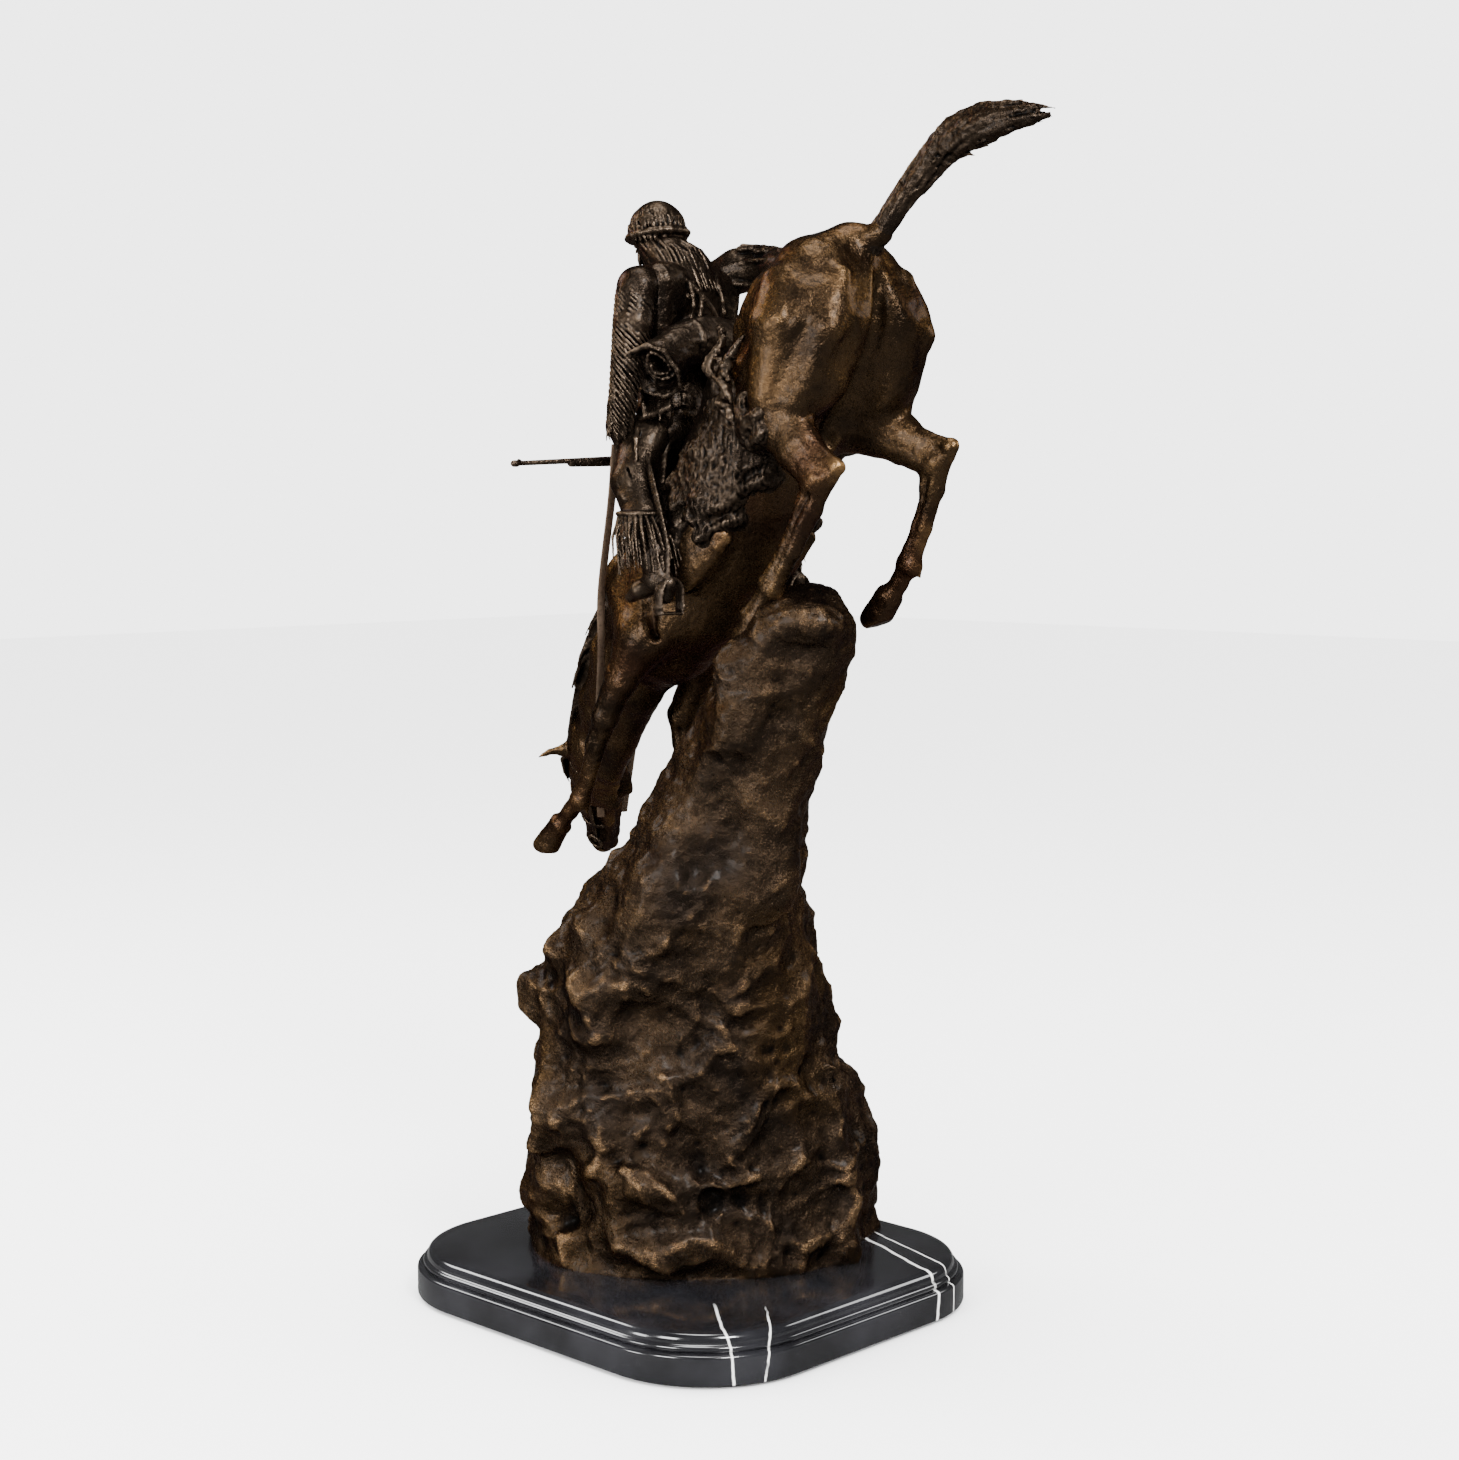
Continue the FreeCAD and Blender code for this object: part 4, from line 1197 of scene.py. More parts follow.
def robe(stuff, m, name):
    """The shaggy robe over the flank, in tufts that hang back and down."""
    hem = [(-52, 26, 600), (-64, 36, 588), (-60, 44, 574), (-76, 49, 566), (-86, 52, 578), (-96, 50, 590)]
    extra = lock(curve_through([(x, y * m, z) for x, y, z in hem], 20), 1.3, 1.0, blend=4.0)
    for i in range(5):
        top = np.array([-70.0 - 3.0 * i, (46 + i) * m, 578.0 - 13.0 * i])
        extra += lock(curve_through([top, top + (-9, 5 * m, -3), top + (-15, 6 * m, -13)], 6), 3.4, 0.9,
                      2.0, flat=0.5)
    clay = sheet_over(1.0, 4.5, on_back(-17, 45 * m, 0), (50, 30, 34), 1.0, extra, soft=12.0, ragged=3.0)
    skin = Skin(clay)
    skin.place = FIGURE
    p = skin.points * (0.5, 0.5, 0.17)
    warp = np.stack([noise(p, 3.0, k) for k in (1, 2, 3)], axis=1)
    shag = 1.0 - 2.0 * np.abs(noise(p + 0.6 * warp, 1.0, 4))
    skin.push(0.7 * shag + 0.5 * layered(skin.points, 3.0, 2, 9) + 1.4 * noise(skin.points, 12.0, 6))
    make_piece(name + "_cast", skin, stuff["hair"], [name])


def saddle(stuff):
    made = [
        Bone((12, 0, 512), (-6, 0, 538), (24, 8), (26, 8), blend=5.0),
        Bone((12, 0, 512), (34, 0, 492), (24, 8), (18, 8), blend=5.0),
        Bone((-8, -16, 548), (-8, 16, 548), (5, 5), (5, 5), side=(1, 0, 0), blend=5.0),
        Bone((-6, -10, 558), (-6, 10, 558), (4, 5), (4, 5), side=(1, 0, 0), blend=5.0),
        Bone((28, 0, 494), (43, 0, 510), (9, 9), (5, 5), blend=5.0),
        lump((46, 0, 513), (6, 6, 4.5), blend=2.0, along=(0.6, 0, 0.8)),
    ]
    for m in (LEFT, RIGHT):
        made.append(Bone((8, 24 * m, 522), (-2, 40 * m, 492), (4, 15), (3, 17), blend=5.0))
        made.append(Bone((-2, 40 * m, 492), (-12, 44 * m, 474), (3, 15), (2.5, 12), blend=5.0))
        for i in range(5):
            top = np.array([-16.0 - 6.0 * i, (40 - 1.2 * i) * m, 552 - 1.5 * i])
            low = top + np.array([-4.0 + 1.5 * (i % 2), (13 - i) * m, -34.0 - 7.0 * (i % 3)])
            mid = (top + low) / 2 + np.array([-1.5, 3.0 * m, 0])
            made += lock(curve_through([top, mid, low, low + (-1, 0.5 * m, -5)], 8), 2.6, 1.7, blend=0.5,
                         flat=0.55)
    skin = sculpt(made, 0.9)
    modelled(skin, 0.3, 5)
    make_piece("saddle_cast", skin, stuff["tack"], ["saddle"])


ROLL = [(-20, -47, 574), (-17, -24, 589), (-16, 0, 594), (-17, 24, 588), (-20, 47, 573)]


def flared_mouth(end, axis, side, up):
    """The open end: a thin uneven rim, a hollow, and the inner windings with a hole."""
    made = [Bone(end - axis * 24, end - axis * 6, (12.5, 13), (15.0, 16.0), side, 2.0),
            Bone(end - axis * 6, end + axis * 1.5, (15.0, 16.0), (17.0, 18.0), side, 1.0),
            Slab(end + axis * 17.0, (axis, side, up), (16.0, 40, 40), 0.4),
            Bone(end - axis * 5, end + axis * 6, (11.5, 12.5), (16.4, 17.4), side, 1.5, True)]
    rim = []
    for i in range(9):
        angle = 2 * math.pi * i / 8
        reach = 17.2 + (1.3 if i % 2 else -0.6)
        rim.append(end + side * reach * math.cos(angle) + up * (reach + 0.8) * math.sin(angle)
                   + axis * (1.2 if i % 3 else -0.6))
    made += [Bone(a, b, (1.3, 1.3), (1.3, 1.3), side, 0.8) for a, b in zip(rim, rim[1:])]
    middle = end - side * 1.5 - up * 2.0
    for i in range(30):
        angles = [2 * math.pi * (i + k) / 14 for k in (0, 1)]
        reach = [5.4 + 0.27 * (i + k) + 0.8 * math.sin((i + k) * 1.3) for k in (0, 1)]
        ends = [middle + side * r * math.cos(q) + up * r * math.sin(q) - axis * (1.5 + 0.09 * i)
                for r, q in zip(reach, angles)]
        made.append(Bone(ends[0] - axis * 3, ends[1] - axis * 3, (1.5, 3.6), (1.5, 3.6), side, 0.9))
    made.append(Bone(middle - axis * 13, middle + axis * 6, (3.6, 3.9), (4.4, 4.8), side, 1.0, True))
    return made


def bedroll(stuff):
    """A hide rolled fur side in, tied behind the cantle: its ends flare open."""
    line = curve_through(ROLL, 13)
    made = bones([(*p, 12.5, 13.5) for p in line], side=(1, 0, 0), blend=2.0)[2:-2]
    for m in (LEFT, RIGHT):
        end = line[-1] if m > 0 else line[0]
        axis = unit(end - (line[-3] if m > 0 else line[2]))
        side = unit(np.cross(axis, (0, 0, 1.0)))
        up = np.cross(axis, side)
        made += flared_mouth(end, axis, side, up)
    for along in (4, 8):
        ring = line[along]
        for i in range(16):
            a, b = (2 * math.pi * (i + k) / 16 for k in (0, 1))
            edge = [ring + np.array([math.cos(q), 0, math.sin(q)]) * 13.4 for q in (a, b)]
            made.append(Bone(edge[0], edge[1], (2.2, 1.3), (2.2, 1.3), (0, 1, 0), 0.5))
    skin = sculpt(made, 0.75)
    p = skin.points
    skin.push(0.4 * layered(p * (1, 0.3, 1), 3.0, 2, 4) + 0.5 * noise(p, 9.0, 8))
    make_piece("bedroll_cast", skin, stuff["tack"], ["bedroll"])


# --- the rider --------------------------------------------------------------------

TORSO = [
    (4, 0, 534, 19, 17), (9, 0, 552, 22, 19), (13, 0, 582, 20, 16), (9, 0, 610, 25, 18),
    (5, 1, 629, 27, 15), (10, 2, 641, 15, 11), (13, 2, 648, 8, 8),
]
RIDER_LEG = [(9, 12, 546, 13, 16), (10, 28, 534, 13, 17), (3, 45, 508, 11.5, 13.5), (-12, 52, 486, 9.5, 12),
             (-27, 56, 464, 8, 10), (-31, 57, 452, 7.5, 8.5)]
BOOT = [(-40, 57, 447, 5, 5), (-32, 57, 449, 7.2, 7.2), (-18, 57, 443, 6.6, 5.4), (-7, 56, 437.5, 4, 3.2)]


def folds(lines, radius, blend=2.0):
    made = []
    for line in lines:
        made += lock(curve_through(line, 6), radius, radius * 0.5, blend)
    return made


def rider_torso(stuff):
    made = bones(TORSO, blend=8.0)
    made.append(Bone((2, -18, 628), (2, 20, 628), (8, 9), (8, 9), (1, 0, 0), 6.0))
    made.append(Bone((-8, -14, 624), (-8, 18, 624), (6, 12), (6, 12), (1, 0, 0), 6.0))
    for m in (LEFT, RIGHT):
        made.append(Bone((-3, 27 * m, 628), (-2, 27 * m, 598), (11, 12), (9, 10), blend=7.0))
    # the coat's skirt flares out behind, over the bedroll
    for i in range(13):
        angle = math.radians(92 + 176 * i / 12)
        rear = max(0.0, -math.cos(angle))
        out = np.array([math.cos(angle), math.sin(angle) * 1.05, 0])
        top = np.array([10.0, 0, 590.0 + 20 * rear]) + out * (16, 18, 0)
        hem = np.array([9.0, 0, 564.0 + 36 * rear + 2.5 * math.sin(i * 2.2)]) + out * (25 + 4 * rear, 27, 0)
        made.append(Bone(top, hem, (6.5, 2.2), (7.5, 1.3), np.cross(out, (0, 0, 1.0)), 2.5))
    for m in (LEFT, RIGHT):
        made.append(Bone((4, 20 * m, 590), (-6, 36 * m, 548), (4.5, 14), (3.0, 16), blend=4.0))
        made += folds([[(12, 25 * m, 588), (4, 35 * m, 566), (-2, 40 * m, 546)],
                       [(2, 26 * m, 586), (-8, 34 * m, 566), (-14, 38 * m, 544)]], 1.8)
    made += lock([(-14, 0, 640), (-19, 0, 615), (-12, 0, 594)], 0.9, 0.9, blend=1.2, cut=True)
    for i in range(20):
        a, b = (2 * math.pi * (i + k) / 20 for k in (0, 1))
        ring = [np.array([12.5 + 17.0 * math.cos(q), 21.5 * math.sin(q), 580 - 3 * math.cos(q)])
                for q in (a, b)]
        made.append(Bone(ring[0], ring[1], (1.4, 3.2), (1.4, 3.2), (0, 0, 1), 0.5))
    cross = [(16, 24, 632), (-8, 22, 634), (-18, 6, 620), (-16, -10, 604), (2, -22, 590)]
    made += lock(curve_through(cross, 12), 1.8, 1.8, blend=0.6, flat=0.8)
    made += folds([[(-10, 12, 634), (-19, 14, 616), (-14, 13, 600)],
                   [(-12, -12, 632), (-18, -13, 614), (-12, -15, 598)],
                   [(-15, 4, 624), (-19, 8, 610), (-14, 8, 598)],
                   [(-6, 20, 624), (-10, 20, 606), (-4, 20, 592)]], 1.4)
    made += folds([[(22, 10, 632), (28, 10, 612), (26, 8, 594)],
                   [(24, -8, 630), (29, -8, 612), (27, -6, 594)]], 1.5)
    for i in range(12):
        a, b = (2 * math.pi * (i + k) / 12 for k in (0, 1))
        ring = [np.array([12 + 11.5 * math.cos(q), 2 + 11.5 * math.sin(q), 644 - 1.5 * math.cos(q)])
                for q in (a, b)]
        made.append(Bone(ring[0], ring[1], (1.6, 3.0), (1.6, 3.0), (0, 0, 1), 0.8))
    skin = sculpt(made, 0.8)
    p = skin.points
    skin.push(0.28 * layered(p, 5.0, 3, 14) + 0.35 * noise(p * (1, 1, 0.25), 2.2, 15))
    make_piece("rider_coat", skin, stuff["rider"], ["rider_torso"])


# The head's own place: forward of the face, its left, and up
HEAD_MIDDLE = np.array([24.0, 4.0, 660.0])
FACE = unit((1.0, 0.06, -0.12))
FACE_SIDE = unit(np.cross((0, 0, 1.0), FACE))
FACE_UP = np.cross(FACE, FACE_SIDE)
HEAD_HALF = 17.0


def on_face(forward, side, up):
    """A place on the rider's head, in half heads from its middle."""
    return HEAD_MIDDLE + (FACE * forward + FACE_SIDE * side + FACE_UP * up) * HEAD_HALF


def face_bone(a, b, size_a, size_b, blend=1.0, cut=False):
    grown = [tuple(s * HEAD_HALF for s in size) for size in (size_a, size_b)]
    return Bone(on_face(*a), on_face(*b), grown[0], grown[1], FACE_SIDE, blend, cut)


def rider_head(stuff):
    rng = np.random.default_rng(12)
    made = [
        face_bone((-0.10, 0, 0.30), (0.10, 0, 0.20), (0.72, 0.74), (0.70, 0.74), 3.0),
        face_bone((0.16, 0, 0.05), (0.26, 0, -0.62), (0.62, 0.62), (0.36, 0.36), 3.0),
        face_bone((0.42, 0, -0.80), (0.50, 0, -0.84), (0.24, 0.20), (0.20, 0.16), 2.5),
        face_bone((-0.2, 0, -0.5), (-0.55, 0, -1.3), (0.42, 0.42), (0.52, 0.48), 3.0),
        face_bone((0.72, 0, 0.12), (0.98, 0, -0.24), (0.07, 0.09), (0.13, 0.12), 1.0),
        face_bone((0.86, 0, -0.28), (0.90, 0, -0.28), (0.17, 0.09), (0.15, 0.08), 0.8),
        face_bone((0.74, -0.17, -0.52), (0.74, 0.17, -0.52), (0.07, 0.07), (0.07, 0.07), 0.5),
        face_bone((0.72, -0.14, -0.62), (0.72, 0.14, -0.62), (0.08, 0.07), (0.08, 0.07), 0.5),
        face_bone((0.82, -0.19, -0.57), (0.82, 0.19, -0.57), (0.022, 0.022), (0.022, 0.022), 0.3, True),
    ]
    for m in (LEFT, RIGHT):
        made.append(face_bone((0.66, 0.10 * m, 0.22), (0.58, 0.40 * m, 0.20), (0.10, 0.10), (0.10, 0.10),
                              1.5))
        made.append(face_bone((0.74, 0.27 * m, 0.04), (0.72, 0.31 * m, 0.04), (0.15, 0.12), (0.15, 0.12),
                              1.5, True))
        made.append(face_bone((0.58, 0.26 * m, 0.03), (0.57, 0.29 * m, 0.03), (0.135, 0.13), (0.13, 0.13),
                              0.3))
        made.append(face_bone((0.70, 0.16 * m, 0.07), (0.65, 0.42 * m, 0.06), (0.035, 0.045), (0.03, 0.04),
                              0.4))
        made.append(face_bone((0.68, 0.18 * m, -0.05), (0.64, 0.40 * m, -0.04), (0.025, 0.03), (0.02, 0.03),
                              0.4))
        made.append(face_bone((0.50, 0.42 * m, -0.18), (0.36, 0.50 * m, -0.12), (0.16, 0.14), (0.14, 0.12),
                              2.5))
        made.append(face_bone((-0.02, 0.68 * m, 0.10), (0.0, 0.66 * m, -0.22), (0.07, 0.15), (0.06, 0.10),
                              0.8))
    # a short full beard and moustache, in small locks
    for i in range(90):
        turn = rng.uniform(-1.15, 1.15)
        drop = rng.uniform(0.0, 1.0)
        forward = 0.24 + 0.44 * math.cos(turn) + 0.04 * drop
        root = (forward, 0.52 * math.sin(turn), -0.52 - 0.36 * drop)
        if abs(root[1]) < 0.26 and root[2] > -0.70:
            continue
        tip = (root[0] + 0.05, root[1] * 0.92, root[2] - 0.24)
        made += lock([on_face(*root), on_face(*tip)], 1.1, 0.4, blend=0.7)
    for m in (LEFT, RIGHT):
        for i in range(7):
            root = (0.80, (0.03 + 0.03 * i) * m, -0.44)
            made += lock([on_face(*root), on_face(0.72, (0.16 + 0.04 * i) * m, -0.50 - 0.02 * i)], 0.8,
                         0.35, blend=0.5)
    # long hair from under the cap, falling over the back of both shoulders
    made += bones([(14, 4, 656, 11, 7), (8, 5, 648, 14, 9), (-4, 2, 636, 20, 7), (-12, -2, 622, 18, 3)],
                  blend=2.5)
    for i in range(230):
        turn = rng.uniform(0.30, 1.0) * math.pi * rng.choice([-1, 1])
        across, back = math.sin(turn), -math.cos(turn)
        start = np.array([22 - 12.5 * back, 4 + 13 * across, 657 - rng.uniform(0, 6)])
        reach = rng.uniform(0.55, 1.0)
        spread = 23 if across > 0 else 19
        end = np.array([-3 - 15 * back * reach, 3 + spread * across - 4 * reach, 657 - 34 * reach])
        mid = (start + end) / 2 + np.array([-5.0 * back, 2.0 * across, 2.5])
        made += lock(curve_through([start, mid, end], 5), rng.uniform(0.9, 1.5), 0.45, blend=0.5)
    skin = sculpt(made, 0.62)
    make_piece("rider_head_cast", skin, stuff["rider"], ["rider_head"])


def fur_cap(stuff):
    rng = np.random.default_rng(31)
    centre = np.array([22.5, 4.0, 663.5])
    made = [lump(centre + (0, 0, 1), (15.6, 16.2, 13), blend=3.0)]
    for i in range(18):
        a, b = (2 * math.pi * (i + k) / 18 for k in (0, 1))
        ring = [centre + np.array([16.8 * math.cos(q), 16.0 * math.sin(q), -5.0 - 2.4 * math.cos(q)])
                for q in (a, b)]
        made.append(Bone(ring[0], ring[1], (2.6, 4.0), (2.6, 4.0), (0, 0, 1), 1.0))
    for i in range(560):
        turn = rng.uniform(0, 2 * math.pi)
        rise = rng.uniform(-0.45, 0.98)
        flat = math.sqrt(max(0.0, 1 - rise**2)) if rise > 0 else 1.10
        out = unit((flat * math.cos(turn), flat * math.sin(turn), max(rise, 0)))
        root = centre + np.array([15.6 * flat * math.cos(turn), 16.2 * flat * math.sin(turn),
                                  13.4 * rise + 1.0])
        fall = np.array([-0.35, 0.25, -1.0]) + rng.uniform(-0.25, 0.25, 3)
        fall = unit(fall - out * out.dot(fall))
        length = rng.uniform(4.0, 6.5)
        made += lock([root, root + fall * length * 0.5 + out * 0.5, root + fall * length + out * 0.1], 1.1,
                     0.4, 0.5)
    made.append(Bone(centre + (0, 0, -19), centre + (0, 0, -11), (13.5, 14.5), (13.0, 14.0), blend=0.8,
                     cut=True))
    skin = sculpt(made, 0.6)
    make_piece("fur_cap_cast", skin, stuff["rider"], ["fur_cap"])


REIN_ARM = [(3, 30, 628, 10, 12), (3, 39, 624, 12, 13), (1, 46, 602, 10.5, 12), (2, 49, 578, 9, 10.5),
            (12, 45, 552, 8, 8.5), (20, 40, 538, 6.5, 8)]
RESTING_ARM = [
    (4, -26, 630, 12, 13), (-8, -36, 638, 13.5, 13), (-24, -41, 638, 12.5, 13),
    (-42, -37, 637, 10.5, 11.5), (-58, -31, 636, 9.5, 10),
]


def hand(wrist, fingers, side, up):
    """A closed hand: a palm, four bent fingers and a thumb."""
    wrist, fingers = np.asarray(wrist, float), np.asarray(fingers, float)
    ahead = unit(fingers - wrist)
    side, up = unit(side), unit(up)
    made = [Bone(wrist, wrist + ahead * 6, (4.4, 3.4), (4.8, 3.2), side, 2.0)]
    for i in range(4):
        base = wrist + ahead * 8 + side * (-3.6 + 2.4 * i)
        bend = base + ahead * 4.2 - up * 1.0
        tip = bend - up * 4.2 + ahead * 0.4
        made += lock([base, bend, tip], 1.5, 1.2, blend=0.5)
    thumb = wrist + ahead * 3 - side * 4.6
    made += lock([thumb, thumb + ahead * 4.5 - up * 1.6, thumb + ahead * 7.4 - up * 2.6 + side * 1.5], 1.6,
                 1.2, 0.6)
    return made


def wrapped_strands(rng, stations, rows, columns, length, size=0.9):
    """Cut strands that wrap slantwise round a sleeve or legging, in rows down its length."""
    made = []
    spots = curve_through([s[:3] for s in stations], rows)
    halves = curve_through([(s[3], s[4], 0.0) for s in stations], rows)
    towards, across = unit((-0.71, 0.71, 0)), unit((-0.71, -0.71, 0))
    for spot, half in zip(spots[:-2], halves):
        reach = max(half[0], half[1]) * 0.98
        for turn in columns:
            turn = turn + rng.uniform(-0.06, 0.06)
            strand = []
            for k in range(4):
                angle = turn + 0.26 * k
                out = towards * math.cos(angle) + across * math.sin(angle)
                strand.append(spot + out * reach
                              + np.array([0, 0, -length * k / 3 + rng.uniform(-0.3, 0.3)]))
            made += lock(strand, size, 0.5, blend=0.4)
    return made


def rider_arms(stuff):
    rng = np.random.default_rng(41)
    made = bones(REIN_ARM, blend=4.0)
    made += folds([[(-6, 42, 590), (2, 56, 586), (12, 50, 590)],
                   [(-6, 44, 578), (3, 57, 574), (12, 50, 580)],
                   [(2, 46, 566), (10, 54, 562), (18, 46, 566)],
                   [(6, 44, 556), (14, 52, 552), (22, 42, 556)]], 1.4)
    made += wrapped_strands(rng, REIN_ARM[0:6], 40, (-2.3, -1.55, -0.9, -0.25, 0.4), 9.0)
    made += hand((20, 40, 538), (25, 37, 526), (0.5, -0.8, 0), (0.8, 0.5, 0.2))
    skin = sculpt(made, 0.68)
    make_piece("rein_arm_cast", skin, stuff["rider"], ["rider_arm_left"])

    made = bones(RESTING_ARM, blend=4.0)
    made += folds([[(-10, -44, 649), (-24, -54, 640), (-40, -47, 632)],
                   [(-14, -34, 652), (-32, -45, 650), (-52, -38, 644)],
                   [(-16, -29, 650), (-36, -34, 650), (-56, -31, 645)],
                   [(-8, -24, 630), (-26, -30, 628), (-46, -28, 630)],
                   [(-4, -44, 634), (-22, -54, 630), (-36, -48, 626)],
                   [(-30, -30, 648), (-46, -32, 648), (-60, -30, 642)],
                   [(-6, -22, 638), (-22, -28, 642), (-40, -27, 642)]],
                  2.2, 1.5)
    for i in range(12):
        a, b = (2 * math.pi * (i + k) / 12 for k in (0, 1))
        ring = [np.array([-58.0, -31 + 10 * math.cos(q), 636 + 10 * math.sin(q)]) for q in (a, b)]
        made.append(Bone(ring[0], ring[1], (2.4, 1.2), (2.4, 1.2), (1, 0, 0), 0.5))
    made += hand((-60, -30, 636), (-74, -25, 634), (0.3, 0.95, 0), (-0.2, 0, 1.0))
    skin = sculpt(made, 0.68)
    make_piece("resting_arm_cast", skin, stuff["rider"], ["rider_arm_right"])


def rider_leg(stuff, m, name, seed):
    rng = np.random.default_rng(seed)
    made = bones(RIDER_LEG, blend=4.0, mirror=m) + bones(BOOT, blend=3.0, mirror=m)
    made.append(Bone((-40, 57 * m, 446), (-38, 57 * m, 439), (4.5, 4), (4.8, 4.6), blend=1.0))
    made += folds([[(14, 26 * m, 550), (0, 44 * m, 536), (-6, 50 * m, 520)],
                   [(20, 34 * m, 530), (6, 52 * m, 516), (-6, 56 * m, 506)],
                   [(12, 46 * m, 506), (-2, 58 * m, 498), (-14, 56 * m, 494)]],
                  1.8)
    # a band below the knee, with a wide fringe hanging from it in two layers
    middle = np.array([-13.0, 52.0 * m, 487.0])
    for layer, (count, length, size) in enumerate(((30, 33.0, 1.5), (26, 24.0, 1.4))):
        for i in range(count):
            angle = 2 * math.pi * (i + 0.5 * layer) / count
            out = np.array([math.cos(angle), math.sin(angle), 0])
            top = middle + out * (12.0 + 1.5 * layer)
            drop = np.array([-9.0, 3.0 * m, -length * rng.uniform(0.85, 1.1)])
            flare = out * rng.uniform(4.0, 9.0) + rng.uniform(-1.0, 1.0, 3)
            made += lock([top, top + drop * 0.5 + flare * 0.8, top + drop + flare], size, 0.6, blend=0.35)
    for i in range(18):
        a, b = (2 * math.pi * (i + k) / 18 for k in (0, 1))
        ring = [middle + np.array([13.4 * math.cos(q), 13.0 * math.sin(q), 1.0]) for q in (a, b)]
        made.append(Bone(ring[0], ring[1], (1.6, 3.2), (1.6, 3.2), (0, 0, 1), 0.6))
    for i in range(9):
        a = np.array([14 - 3.2 * i, (44 + 1.9 * i) * m, 520 - 1.0 * i])
        made += lock([a, a + (-9, 3.5 * m, -11)], 0.9, 0.7, blend=0.8, cut=True)
    skin = sculpt(made, 0.8)
    p = skin.points
    skin.push(0.22 * layered(p, 5.0, 2, 19))
    make_piece(name + "_cast", skin, stuff["rider"], [name])


def rifle(stuff):
    made = lock([(52, 97, 518), (38, 27, 521.5), (34, 6, 523)], 1.5, 2.2, blend=0.5)
    made.append(Bone((52, 97, 518), (51.6, 95, 518), (2.1, 2.1), (2.1, 2.1), blend=0.3))
    made.append(Bone((51.6, 94, 520), (51.3, 92.6, 520), (0.6, 1.0), (0.6, 1.0), blend=0.3))
    made.append(Bone((44, 58, 518.4), (36, 14, 520), (1.9, 2.2), (2.4, 2.8), blend=0.8))
    made.append(Bone((36, 12, 521), (30, -16, 523.5), (2.8, 4.4), (3.0, 5.4), blend=1.5))
    made.append(Bone((30, -16, 523.5), (27, -28, 524), (2.8, 4.0), (3.2, 5.2), blend=1.5))
    made.append(Bone((27, -28, 524), (22, -52, 525), (3.2, 5.4), (3.6, 9.0), blend=1.5))
    made += lock([(33, -4, 527.5), (31.5, -9, 530), (30.5, -12, 529)], 1.1, 0.8, blend=0.4)
    made += lock([(32, -6, 518.5), (31, -11, 515.5), (30, -17, 517)], 0.8, 0.8, blend=0.3)
    skin = sculpt(made, 0.6)
    make_piece("rifle_cast", skin, stuff["tack"], ["rifle"])


# --- straps, reins, stirrups and bridle -------------------------------------------

REIN_LEFT = [(24, 39, 530), (33, 34, 497), (50, 27, 440), (60, 18, 400), (84, -2, 350), (141, -56, 281)]
REIN_RIGHT = [(24, 31, 532), (36, 10, 516), (47, -10, 488), (56, -25, 452), (64, -34, 413), (90, -46, 373),
              (118, -64, 328), (150, -86, 281)]
HAND_STRAP = [(0, -20, 590), (-24, -30, 604), (-56, -30, 626)]
REIN_HALF_WIDTH = 2.6
REIN_HALF_THICK = 0.8
STRAP_STEPS = 60


def swept_strap(name, material):
    """A node tree that turns a path into a ribbon with an oval section."""
    tree = bpy.data.node_groups.new(name, "GeometryNodeTree")
    tree.interface.new_socket("Geometry", in_out="INPUT", socket_type="NodeSocketGeometry")
    tree.interface.new_socket("Half Width", in_out="INPUT", socket_type="NodeSocketFloat")
    tree.interface.new_socket("Half Thickness", in_out="INPUT", socket_type="NodeSocketFloat")
    tree.interface.new_socket("Geometry", in_out="OUTPUT", socket_type="NodeSocketGeometry")
    entry = tree.nodes.new("NodeGroupInput")
    curve = tree.nodes.new("GeometryNodeMeshToCurve")
    level = tree.nodes.new("GeometryNodeSetCurveNormal")
    level.mode = "Z_UP"
    section = tree.nodes.new("GeometryNodeCurvePrimitiveCircle")
    section.inputs["Resolution"].default_value = 20
    section.inputs["Radius"].default_value = 1.0
    sizes = tree.nodes.new("ShaderNodeCombineXYZ")
    sizes.inputs["Z"].default_value = 1.0
    squash = tree.nodes.new("GeometryNodeTransform")
    sweep = tree.nodes.new("GeometryNodeCurveToMesh")
    sweep.inputs["Fill Caps"].default_value = True
    real = tree.nodes.new("GeometryNodeRealizeInstances")
    paint = tree.nodes.new("GeometryNodeSetMaterial")
    paint.inputs["Material"].default_value = material
    leave = tree.nodes.new("NodeGroupOutput")
    link = tree.links.new
    link(entry.outputs["Geometry"], curve.inputs["Mesh"])
    link(curve.outputs["Curve"], level.inputs["Curve"])
    link(entry.outputs["Half Width"], sizes.inputs["X"])
    link(entry.outputs["Half Thickness"], sizes.inputs["Y"])
    link(section.outputs["Curve"], squash.inputs["Geometry"])
    link(sizes.outputs["Vector"], squash.inputs["Scale"])
    link(level.outputs["Curve"], sweep.inputs["Curve"])
    link(squash.outputs["Geometry"], sweep.inputs["Profile Curve"])
    link(sweep.outputs["Mesh"], real.inputs["Geometry"])
    link(real.outputs["Geometry"], paint.inputs["Geometry"])
    link(paint.outputs["Geometry"], leave.inputs["Geometry"])
    return tree


